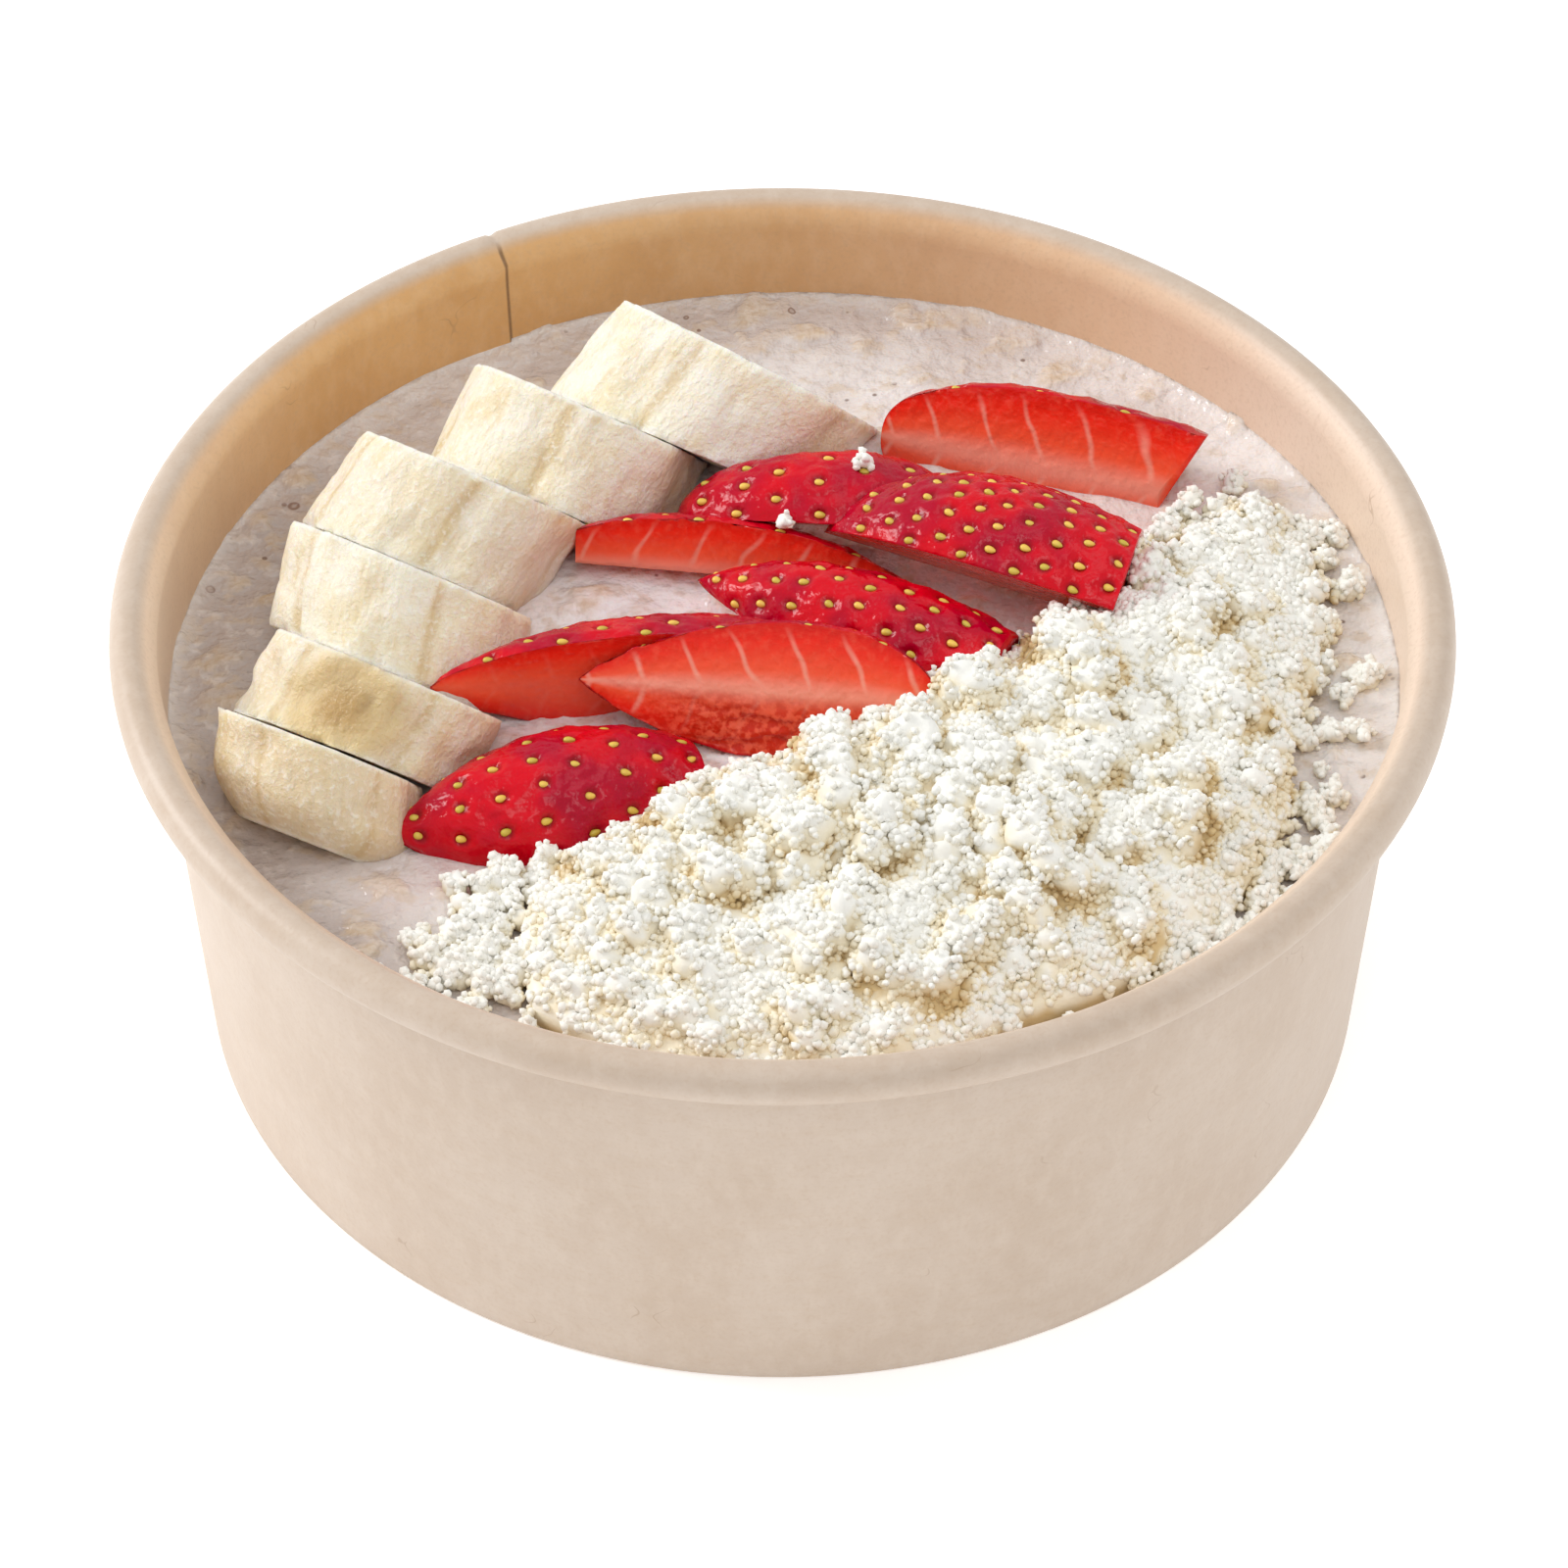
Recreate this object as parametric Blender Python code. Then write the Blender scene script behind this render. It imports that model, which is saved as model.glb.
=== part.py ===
# Bowl of oat porridge in a paper bowl, topped with leaning banana slices,
# strawberry wedges and a heap of white crumble. Metres, +Z up, origin at the
# centre of the foot. The side that the toppings face is -Y.

import math
import random

import bmesh
import bpy
import numpy as np
from mathutils import Matrix, Vector, noise

# Paper bowl: a conical wall with a turned-in hem below and a rolled rim above
RIM_RADIUS = 0.0750
BOWL_HEIGHT = 0.0555
FOOT_RADIUS = 0.0672
NECK_RADIUS = 0.0703
BEAD_WIDTH = 0.0045
BEAD_HEIGHT = 0.0049
PAPER = 0.0006
HEM_HEIGHT = 0.0060
HEM_THICKNESS = 0.0018
SEAM_ANGLE = math.radians(118.3)
SEAM_WIDTH = math.radians(10.0)
SEAM_STEP = 0.00035
SEAM_EDGE = math.radians(0.1)
TURN_STEPS = 52
BEAD_STEPS = 10
BEAD_ARC = (150.0, -150.0)

# Clearance between touching pieces, and the angles above which edges stay sharp
GAP = 0.0003
SHARP_EDGE = 40
ROUGH_EDGE = 50

# Porridge: a slightly sloping level with flakes of oat showing as relief
LEVEL = 0.0430
LEVEL_RISE_X = 0.018
LEVEL_RISE_Y = -0.010
PORRIDGE_CLEARANCE = 0.0008
PORRIDGE_RELIEF = 0.0011
PORRIDGE_RINGS = 10
MENISCUS_SHARE = 0.05
OAT_SIZE = 0.0055
PATCH_SIZE = 0.0140

# Banana: one peeled fruit cut across, its slices pushed over like dominoes.
# Each row: centre of the upper cut (m), half width (m), heading and lean of
# the fruit's axis (degrees) and the skew of the cut (degrees). The cuts stand
# edge-on to BANANA_FACING; BANANA_EDGE rounds them off, as (depth, width).
BANANA_SLICES = (
    ((-0.0041, 0.0478, 0.0492), 0.0170, 37.6, 42.0, 11.0),
    ((-0.0224, 0.0389, 0.0491), 0.0147, 32.9, 42.5, 3.0),
    ((-0.0351, 0.0250, 0.0508), 0.0140, 31.8, 41.7, 11.0),
    ((-0.0416, 0.0108, 0.0491), 0.0148, 30.6, 41.0, -10.0),
    ((-0.0435, -0.0055, 0.0479), 0.0136, 30.2, 40.0, 7.0),
    ((-0.0510, -0.0160, 0.0468), 0.0121, 28.3, 39.5, -17.0),
)
BANANA_GAPS = (0.00035, 0.00035, 0.0009, 0.0004, 0.0011)
BANANA_LAST_THICKNESS = 0.0104
BANANA_DEPTH = 0.93
BANANA_FACING = (0.0, -0.727, 0.686)
BANANA_RIDGES = 5
BANANA_RIDGE_HEIGHT = 0.035
BANANA_SIDES = 25
BANANA_EDGE = ((0.0, 0.982), (0.05, 1.0), (0.5, 1.008), (0.95, 1.0), (1.0, 0.982))

# Strawberries: lengthwise wedges. Each row: left and right end of the core
# line (m), radius (m), the angles that the skin spans round the core, from
# the near side over the top (degrees), the end that is the tip, how far the
# radius falls towards the stem end, how pointed the tip is, and how far the
# skin's first edge reaches past the core at the stem end (m).
STRAWBERRIES = (
    ((0.0116, 0.0394, 0.0452), (0.0438, 0.0294, 0.0450), 0.0094, 112, 280, "left", 0.28, 0.38, 0.0046),
    ((-0.0123, 0.0245, 0.0452), (0.0205, 0.0216, 0.0455), 0.0090, 42, 160, "left", 0.75, 0.50, 0.0),
    ((0.0048, 0.0185, 0.0482), (0.0375, 0.0066, 0.0452), 0.0126, 50, 172, "left", 0.22, 0.62, 0.0012),
    ((-0.0238, 0.0178, 0.0442), (0.0150, 0.0125, 0.0446), 0.0070, 106, 200, "right", 0.60, 0.75, 0.0),
    ((-0.0096, 0.0117, 0.0470), (0.0243, -0.0036, 0.0452), 0.0077, 12, 165, "left", 0.38, 0.80, 0.0),
    ((-0.0392, -0.0078, 0.0482), (0.0060, -0.0030, 0.0450), 0.0080, 88, 268, "left", 0.75, 0.72, 0.0),
    ((-0.0226, -0.0078, 0.0495), (0.0166, -0.0125, 0.0500), 0.0084, 118, 292, "left", 0.90, 0.85, 0.0),
    ((-0.0430, -0.0266, 0.0436), (-0.0098, -0.0158, 0.0393), 0.0095, -20, 165, "left", 0.55, 0.85, 0.0),
)
BERRY_STATIONS = 12
BERRY_SKIN_STEPS = 8
BERRY_WIDEST = 0.62
SEED_LENGTH = 0.0015
SEED_WIDTH = 0.0011
SEED_HEIGHT = 0.0004
SEED_PITCH = 0.0058
SEED_ROW_SHARE = 0.87
SEED_MARGIN = 0.0014
SEED_SIDES = 5
# The uppermost wedge first: each is cut back round all those before it
BERRY_ORDER = (7, 3, 8, 5, 4, 2, 6, 1)
BERRY_CLEARANCE = 0.0006
LEAST_EDGE_COSINE = 0.35

# White crumble: a broad heap inside this outline, with lumps standing on it
HEAP_CENTRE = (0.0170, -0.0250)
HEAP_OUTLINE = (
    (0.0610, 0.0080),
    (0.0600, 0.0190),
    (0.0560, 0.0270),
    (0.0480, 0.0285),
    (0.0435, 0.0230),
    (0.0415, 0.0135),
    (0.0345, 0.0070),
    (0.0270, 0.0020),
    (0.0220, -0.0030),
    (0.0150, -0.0075),
    (0.0090, -0.0130),
    (0.0010, -0.0165),
    (-0.0060, -0.0195),
    (-0.0120, -0.0235),
    (-0.0180, -0.0275),
    (-0.0225, -0.0320),
    (-0.0265, -0.0365),
    (-0.0280, -0.0420),
    (-0.0275, -0.0480),
    (-0.0265, -0.0540),
    (-0.0165, -0.0603),
    (0.0000, -0.0630),
    (0.0160, -0.0610),
    (0.0250, -0.0560),
    (0.0360, -0.0510),
    (0.0450, -0.0440),
    (0.0510, -0.0350),
    (0.0550, -0.0250),
    (0.0560, -0.0120),
    (0.0600, -0.0020),
)
HEAP_HEIGHT = 0.0080
HEAP_CROWN = 2.0
HEAP_FALL = 0.8
HEAP_SPOKES = 40
HEAP_RINGS = 8
HEAP_EDGE = 0.0016
HEAP_ROUGHNESS = 0.0034
HEAP_BUMP = 0.0075
LARGE_LUMPS = 22
SMALL_LUMPS = 14
LUMP_RADII = (0.0028, 0.0044)
SMALL_LUMP_RADII = (0.0017, 0.0028)
LUMP_ROUGHNESS = 0.44
LUMP_BUMPS = 1.6
LUMP_REACH = 0.93
LUMP_SHRINK = 0.35
LUMP_SINK = 0.2
NOISE_SPREAD = 9.0
GOLDEN_ANGLE = math.pi * (3.0 - math.sqrt(5.0))

# Loose crumbs on the porridge, each a place and a radius (m)
LOOSE_CRUMBS = (
    (0.0640, 0.0220, 0.0014),
    (0.0645, 0.0130, 0.0016),
    (0.0655, -0.0020, 0.0017),
    (0.0640, -0.0110, 0.0013),
    (0.0605, -0.0215, 0.0013),
    (0.0570, -0.0320, 0.0015),
    (0.0505, -0.0440, 0.0014),
    (0.0390, -0.0535, 0.0013),
    (0.0308, -0.0575, 0.0012),
    (-0.0390, -0.0420, 0.0013),
    (-0.0345, -0.0475, 0.0020),
    (-0.0320, -0.0428, 0.0015),
    (-0.0330, -0.0525, 0.0015),
    (-0.0300, -0.0360, 0.0013),
    (-0.0392, -0.0492, 0.0012),
)
CRUMB_RISE = 0.35

random.seed(7)


def clear_scene():
    for stale in list(bpy.data.objects):
        bpy.data.objects.remove(stale, do_unlink=True)


def material(name, colour, roughness):
    finish = bpy.data.materials.new(name)
    finish.use_nodes = True
    shader = finish.node_tree.nodes["Principled BSDF"]
    shader.inputs["Base Color"].default_value = (*colour, 1.0)
    shader.inputs["Roughness"].default_value = roughness
    shader.inputs["Metallic"].default_value = 0.0
    return finish


def add_object(name, points, faces, finish=None):
    mesh = bpy.data.meshes.new(name)
    mesh.from_pydata([tuple(p) for p in points], [], faces)
    shape = bmesh.new()
    shape.from_mesh(mesh)
    bmesh.ops.recalc_face_normals(shape, faces=shape.faces)
    shape.to_mesh(mesh)
    shape.free()
    piece = bpy.data.objects.new(name, mesh)
    bpy.context.scene.collection.objects.link(piece)
    if finish:
        mesh.materials.append(finish)
    return piece


def shade(piece, degrees):
    piece.data.shade_smooth()
    piece.data.set_sharp_from_angle(angle=math.radians(degrees))


def remove(piece):
    bpy.data.objects.remove(piece, do_unlink=True)


def keep_largest_body(mesh):
    """Drop the loose scraps that a cut leaves beside the main body."""
    shape = bmesh.new()
    shape.from_mesh(mesh)
    unseen = set(shape.verts)
    bodies = []
    while unseen:
        body = [unseen.pop()]
        for vertex in body:
            for edge in vertex.link_edges:
                other = edge.other_vert(vertex)
                if other in unseen:
                    unseen.remove(other)
                    body.append(other)
        bodies.append(body)
    bodies.sort(key=len, reverse=True)
    for body in bodies[1:]:
        bmesh.ops.delete(shape, geom=body, context="VERTS")
    shape.to_mesh(mesh)
    shape.free()


def combine(piece, others, operation):
    """Join the others to the piece, or cut them out of it, in one Boolean."""
    group = bpy.data.collections.new("operands")
    bpy.context.scene.collection.children.link(group)
    for other in others:
        group.objects.link(other)
    boolean = piece.modifiers.new("combine", "BOOLEAN")
    boolean.operation = operation
    boolean.operand_type = "COLLECTION"
    boolean.collection = group
    boolean.solver = "MANIFOLD"
    bpy.context.view_layer.update()
    evaluated = piece.evaluated_get(bpy.context.evaluated_depsgraph_get())
    result = bpy.data.meshes.new_from_object(evaluated)
    piece.modifiers.clear()
    piece.data = result
    for other in others:
        remove(other)
    bpy.data.collections.remove(group)
    keep_largest_body(result)


def cut_back(piece, cutters):
    """Cut the piece back round its neighbours' larger copies, which are kept."""
    if cutters:
        combine(piece, [cutter.copy() for cutter in cutters], "DIFFERENCE")


def level_at(x, y):
    return LEVEL + LEVEL_RISE_X * x + LEVEL_RISE_Y * y


def cut_at_level(piece):
    """Keep only what stands above the porridge, with a flat underside."""
    shape = bmesh.new()
    shape.from_mesh(piece.data)
    normal = Vector((-LEVEL_RISE_X, -LEVEL_RISE_Y, 1.0)).normalized()
    point = Vector((0.0, 0.0, LEVEL + GAP))
    everything = shape.verts[:] + shape.edges[:] + shape.faces[:]
    cut = bmesh.ops.bisect_plane(shape, geom=everything, plane_co=point, plane_no=normal, clear_inner=True)
    rim = [part for part in cut["geom_cut"] if isinstance(part, bmesh.types.BMEdge)]
    if rim:
        bmesh.ops.holes_fill(shape, edges=rim)
    bmesh.ops.recalc_face_normals(shape, faces=shape.faces)
    shape.to_mesh(piece.data)
    shape.free()


def inflated_copy(piece, amount):
    """A larger copy of the piece, its faces moved out by the amount.

    A vertex on a sharp edge moves further, up to LEAST_EDGE_COSINE's reach.
    """
    shape = bmesh.new()
    shape.from_mesh(piece.data)
    bmesh.ops.triangulate(shape, faces=shape.faces)
    shape.normal_update()
    moves = []
    for vertex in shape.verts:
        normals = [face.normal for face in vertex.link_faces]
        mean = sum(normals, Vector()).normalized()
        least = max(LEAST_EDGE_COSINE, min(mean.dot(normal) for normal in normals))
        moves.append(mean * (amount / least))
    for vertex, move in zip(shape.verts, moves):
        vertex.co += move
    mesh = bpy.data.meshes.new("cutter")
    shape.to_mesh(mesh)
    shape.free()
    cutter = bpy.data.objects.new("cutter", mesh)
    cutter.matrix_world = piece.matrix_world
    return cutter


# Paper bowl
def wall_outer(z):
    return FOOT_RADIUS + (NECK_RADIUS - FOOT_RADIUS) * z / (BOWL_HEIGHT - BEAD_HEIGHT)


def wall_inner(z):
    return wall_outer(z) - PAPER


def turn_angles():
    """Even steps round the bowl, with close pairs at the seam's two edges."""
    angles = [2 * math.pi * step / TURN_STEPS for step in range(TURN_STEPS)]
    for edge in (SEAM_ANGLE, SEAM_ANGLE + SEAM_WIDTH):
        angles += [edge - SEAM_EDGE, edge + SEAM_EDGE]
    return sorted(angles)


def in_seam(angle):
    return SEAM_ANGLE < angle < SEAM_ANGLE + SEAM_WIDTH


def turned(name, profile_at, finish):
    """Turn a closed profile round the bowl's axis; it may vary with the angle."""
    angles = turn_angles()
    points = []
    for angle in angles:
        direction = (math.cos(angle), math.sin(angle))
        profile = profile_at(angle)
        points += [(r * direction[0], r * direction[1], z) for r, z in profile]
    count = len(profile)
    faces = []
    for i in range(len(angles)):
        here = i * count
        there = (i + 1) % len(angles) * count
        for j in range(count):
            k = (j + 1) % count
            faces.append((here + j, there + j, there + k, here + k))
    return add_object(name, points, faces, finish)


def wall_profile(angle):
    neck = BOWL_HEIGHT - BEAD_HEIGHT
    bead_r = RIM_RADIUS - BEAD_WIDTH / 2
    bead_z = BOWL_HEIGHT - BEAD_HEIGHT / 2
    step = SEAM_STEP if in_seam(angle) else 0.0
    profile = [
        (FOOT_RADIUS - HEM_THICKNESS, 0.0),
        (wall_outer(HEM_HEIGHT) - HEM_THICKNESS, HEM_HEIGHT),
        (wall_inner(HEM_HEIGHT) - step, HEM_HEIGHT),
        (wall_inner(neck) - step, bead_z),
    ]
    for i in range(BEAD_STEPS + 1):
        turn = math.radians(BEAD_ARC[0] + (BEAD_ARC[1] - BEAD_ARC[0]) * i / BEAD_STEPS)
        profile.append((bead_r + BEAD_WIDTH / 2 * math.cos(turn), bead_z + BEAD_HEIGHT / 2 * math.sin(turn)))
    profile += [(wall_outer(neck), neck), (FOOT_RADIUS, 0.0)]
    return profile


def make_wall(finish):
    wall = turned("bowl_wall", wall_profile, finish)
    shade(wall, SHARP_EDGE)


def disc(name, rings, finish):
    """A round solid built up in rings, each a radius and a height over (x, y)."""
    angles = turn_angles()
    points = []
    for radius, height in rings:
        circle = [(radius * math.cos(angle), radius * math.sin(angle)) for angle in angles]
        points += [(x, y, height(x, y)) for x, y in circle]
    faces = []
    count = len(angles)
    for ring in range(len(rings) - 1):
        for i in range(count):
            k = (i + 1) % count
            here = ring * count
            faces.append((here + i, here + k, here + count + k, here + count + i))
    for first, height in ((0, rings[0][1]), ((len(rings) - 1) * count, rings[-1][1])):
        centre = len(points)
        points.append((0.0, 0.0, height(0.0, 0.0)))
        faces += [(first + i, first + (i + 1) % count, centre) for i in range(count)]
    return add_object(name, points, faces, finish)


def flat(z):
    return lambda x, y: z


def make_base(finish):
    under = HEM_HEIGHT + GAP
    radius = wall_inner(under) - SEAM_STEP - GAP
    base = disc("bowl_base", ((radius, flat(under)), (radius, flat(under + PAPER))), finish)
    shade(base, SHARP_EDGE)


# Porridge
def porridge_top(x, y):
    """The level, dipping between oat flakes and rising again at the wall."""
    coarse = noise.noise(Vector((x, y, 0.0)) / PATCH_SIZE)
    fine = noise.noise(Vector((x, y, PATCH_SIZE)) / OAT_SIZE)
    dip = min(1.0, max(0.0, 0.5 + 0.3 * (coarse + fine)))
    from_wall = max(0.0, 1.0 - math.hypot(x, y) / wall_inner(LEVEL))
    return level_at(x, y) - PORRIDGE_RELIEF * dip * min(1.0, from_wall / MENISCUS_SHARE)


def make_porridge(finish):
    floor = HEM_HEIGHT + PAPER + 2 * GAP
    edge = wall_inner(LEVEL) - PORRIDGE_CLEARANCE
    foot = wall_inner(floor) - PORRIDGE_CLEARANCE
    rings = [(foot, flat(floor)), (edge, porridge_top)]
    for ring in range(PORRIDGE_RINGS - 1, 0, -1):
        rings.append((edge * ring / PORRIDGE_RINGS, porridge_top))
    porridge = disc("porridge", rings, finish)
    combine(porridge, loose_crumbs(), "UNION")
    shade(porridge, ROUGH_EDGE)


# Banana slices
def slice_frame(lean, heading):
    """The fruit's axis, and unit vectors across the cut and up the cut."""
    axis = Vector((
        math.cos(lean) * math.sin(heading),
        math.cos(lean) * math.cos(heading),
        math.sin(lean),
    ))
    across = axis.cross(Vector(BANANA_FACING)).normalized()
    towards = across.cross(axis).normalized()
    return axis, across, towards


def make_banana_slices(finish):
    """Slices share their cuts: each ends just above the next one's upper cut."""
    pieces = []
    for index, (centre, half_width, heading, lean, skew) in enumerate(BANANA_SLICES):
        axis, across, towards = slice_frame(math.radians(lean), math.radians(heading))
        grain = (axis + across * math.tan(math.radians(skew))).normalized()
        centre = Vector(centre)
        if index + 1 < len(BANANA_SLICES):
            below = BANANA_SLICES[index + 1]
            below_axis = slice_frame(math.radians(below[3]), math.radians(below[2]))[0]
            below_point = Vector(below[0]) + below_axis * BANANA_GAPS[index]
        else:
            below_axis = axis
            below_point = centre - axis * BANANA_LAST_THICKNESS
        points = []
        for along, swell in BANANA_EDGE:
            for side in range(BANANA_SIDES):
                turn = 2 * math.pi * side / BANANA_SIDES
                ridge = 1.0 + BANANA_RIDGE_HEIGHT * math.cos(BANANA_RIDGES * turn + index)
                flat_point = across * math.cos(turn) + towards * math.sin(turn) * BANANA_DEPTH
                top = centre + flat_point * (half_width * ridge * swell)
                reach = (top - below_point).dot(below_axis) / grain.dot(below_axis)
                points.append(top - grain * (reach * along))
        faces = []
        for ring in range(len(BANANA_EDGE) - 1):
            for side in range(BANANA_SIDES):
                k = (side + 1) % BANANA_SIDES
                here = ring * BANANA_SIDES
                faces.append((here + side, here + k, here + BANANA_SIDES + k, here + BANANA_SIDES + side))
        last = (len(BANANA_EDGE) - 1) * BANANA_SIDES
        faces.append(tuple(range(BANANA_SIDES)))
        faces.append(tuple(range(last + BANANA_SIDES - 1, last - 1, -1)))
        piece = add_object(f"banana_slice_{index + 1}", points, faces, finish)
        cut_at_level(piece)
        pieces.append(piece)
    return pieces


# Strawberry wedges
def berry_radius(s, shoulder, point):
    """Share of the full radius at s, from the tip (0) to the stem end (1)."""
    if s < BERRY_WIDEST:
        return (1.0 - (1.0 - s / BERRY_WIDEST) ** 2) ** point
    return math.sqrt(1.0 - shoulder * ((s - BERRY_WIDEST) / (1.0 - BERRY_WIDEST)) ** 2)


def berry_frame(left, right):
    """Unit vectors along the core, to the near side, and up across it."""
    along = (right - left).normalized()
    near = Vector((along.y, -along.x, 0.0)).normalized()
    up = near.cross(along)
    return along, near, up


def skin_point(row, s, degrees):
    """At one place on a wedge: the core point, the way out, the reach and the skin point."""
    left, right, radius, skin_from, skin_to, tip, shoulder, point, overhang = row
    left, right = Vector(left), Vector(right)
    along, near, up = berry_frame(left, right)
    turn = math.radians(degrees)
    outward = near * math.cos(turn) + up * math.sin(turn)
    core = left.lerp(right, s if tip == "left" else 1.0 - s)
    reach = radius * berry_radius(s, shoulder, point)
    past_widest = max(0.0, (s - BERRY_WIDEST) / (1.0 - BERRY_WIDEST))
    near_first_edge = max(0.0, math.cos(turn - math.radians(skin_from)))
    stemward = along if tip == "left" else -along
    beyond = stemward * (overhang * past_widest ** 2 * near_first_edge)
    return core, outward, reach, core + outward * reach + beyond


def make_wedge(name, row, finish):
    """Rings of one core point and an arc of skin, closed at both ends."""
    skin_from, skin_to = row[3:5]
    stations = [0.5 - 0.5 * math.cos(math.pi * i / (BERRY_STATIONS - 1)) for i in range(BERRY_STATIONS)]
    ring_size = BERRY_SKIN_STEPS + 2
    points = [skin_point(row, 0.0, 0.0)[0]]
    for s in stations[1:]:
        points.append(skin_point(row, s, 0.0)[0])
        for step in range(BERRY_SKIN_STEPS + 1):
            degrees = skin_from + (skin_to - skin_from) * step / BERRY_SKIN_STEPS
            points.append(skin_point(row, s, degrees)[3])
    faces = []
    for j in range(ring_size):
        faces.append((0, 1 + j, 1 + (j + 1) % ring_size))
    for ring in range(BERRY_STATIONS - 2):
        here = 1 + ring * ring_size
        for j in range(ring_size):
            k = (j + 1) % ring_size
            faces.append((here + j, here + k, here + ring_size + k, here + ring_size + j))
    last = 1 + (BERRY_STATIONS - 2) * ring_size
    faces += [(last, last + j, last + j + 1) for j in range(1, ring_size - 1)]
    piece = add_object(name, points, faces, finish)
    cut_at_level(piece)
    return piece


def seed_places(row):
    """Staggered rows on the skin, clear of the cut faces and of the porridge."""
    core_line = Vector(row[1]) - Vector(row[0])
    along = core_line.normalized()
    skin_from, skin_to = row[3:5]
    rows = int(core_line.length / (SEED_PITCH * SEED_ROW_SHARE))
    places = []
    for i in range(1, rows):
        reach = skin_point(row, i / rows, 0.0)[2]
        margin = math.degrees(SEED_MARGIN / reach)
        span = max(0.0, skin_to - skin_from - 2 * margin)
        count = int(math.radians(span) * reach / SEED_PITCH)
        for j in range(count + 1):
            share = (j + 0.5 * (i % 2)) / (count + 0.5)
            _, outward, _, place = skin_point(row, i / rows, skin_from + margin + span * share)
            if share <= 1.0 and place.z > level_at(place.x, place.y) + 2 * SEED_WIDTH:
                places.append((place, outward, along))
    return places


def berry_seeds(row):
    """All of a wedge's seeds in one object, each half sunk in the skin."""
    shape = bmesh.new()
    for place, outward, along in seed_places(row):
        side = outward.cross(along)
        turn = Matrix((along, side, outward)).transposed().to_4x4()
        size = Matrix.Diagonal((SEED_LENGTH / 2, SEED_WIDTH / 2, SEED_HEIGHT, 1.0))
        pose = Matrix.Translation(place) @ turn @ size
        bmesh.ops.create_uvsphere(shape, u_segments=SEED_SIDES, v_segments=2, radius=1.0, matrix=pose)
    mesh = bpy.data.meshes.new("seeds")
    shape.to_mesh(mesh)
    shape.free()
    return bpy.data.objects.new("seeds", mesh)


def make_strawberries(finish):
    """The wedges, and larger copies of them to cut their neighbours back by."""
    cutters = []
    for number in BERRY_ORDER:
        row = STRAWBERRIES[number - 1]
        wedge = make_wedge(f"strawberry_{number}", row, finish)
        larger = inflated_copy(wedge, BERRY_CLEARANCE + SEED_HEIGHT)
        combine(wedge, [berry_seeds(row)], "UNION")
        cut_back(wedge, cutters)
        cutters.append(larger)
        shade(wedge, SHARP_EDGE)
    return cutters


# White crumble
def heap_reach(turn):
    """Distance from the heap's centre to its outline in one direction."""
    corners = [(x - HEAP_CENTRE[0], y - HEAP_CENTRE[1]) for x, y in HEAP_OUTLINE]
    polar = sorted((math.atan2(y, x), math.hypot(x, y)) for x, y in corners)
    turns = [p[0] for p in polar]
    reaches = [p[1] for p in polar]
    turn = (turn + math.pi) % (2 * math.pi) - math.pi
    return float(np.interp(turn, turns, reaches, period=2 * math.pi))


def heap_top(x, y):
    """A crowned heap, falling away to its outline, with bumps all over."""
    from_centre = (x - HEAP_CENTRE[0], y - HEAP_CENTRE[1])
    share = min(1.0, math.hypot(*from_centre) / heap_reach(math.atan2(from_centre[1], from_centre[0])))
    fall = (1.0 - share ** HEAP_CROWN) ** HEAP_FALL
    bump = HEAP_ROUGHNESS * noise.noise(Vector((x, y, HEAP_BUMP)) / HEAP_BUMP)
    return level_at(x, y) + GAP + HEAP_EDGE + (HEAP_HEIGHT + bump) * fall


def lump(place, radius, detail):
    """A rough lump: a coarse ball with its points pushed in and out."""
    shape = bmesh.new()
    bmesh.ops.create_icosphere(shape, subdivisions=detail, radius=radius)
    offset = Vector((random.random(), random.random(), random.random())) * NOISE_SPREAD
    for vertex in shape.verts:
        swell = 1.0 + LUMP_ROUGHNESS * noise.noise(vertex.co / radius * LUMP_BUMPS + offset)
        vertex.co = place + vertex.co * swell
    mesh = bpy.data.meshes.new("lump")
    shape.to_mesh(mesh)
    shape.free()
    return bpy.data.objects.new("lump", mesh)


def heap_point(share, turn):
    reach = heap_reach(turn) * share
    return HEAP_CENTRE[0] + reach * math.cos(turn), HEAP_CENTRE[1] + reach * math.sin(turn)


def scattered_lumps(count, radii, detail):
    """Lumps spread evenly over the heap, smaller towards its outline."""
    lumps = []
    for i in range(count):
        share = math.sqrt((i + 0.5) / count) * LUMP_REACH
        radius = random.uniform(*radii) * (1.0 - LUMP_SHRINK * share)
        x, y = heap_point(share, GOLDEN_ANGLE * i)
        inside = min(1.0, (wall_inner(LEVEL) - 1.5 * radius) / math.hypot(x, y))
        x, y = x * inside, y * inside
        lumps.append(lump(Vector((x, y, heap_top(x, y) - LUMP_SINK * radius)), radius, detail))
    return lumps


def loose_crumbs():
    crumbs = []
    for x, y, radius in LOOSE_CRUMBS:
        crumbs.append(lump(Vector((x, y, porridge_top(x, y) + CRUMB_RISE * radius)), radius, 1))
    return crumbs


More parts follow.
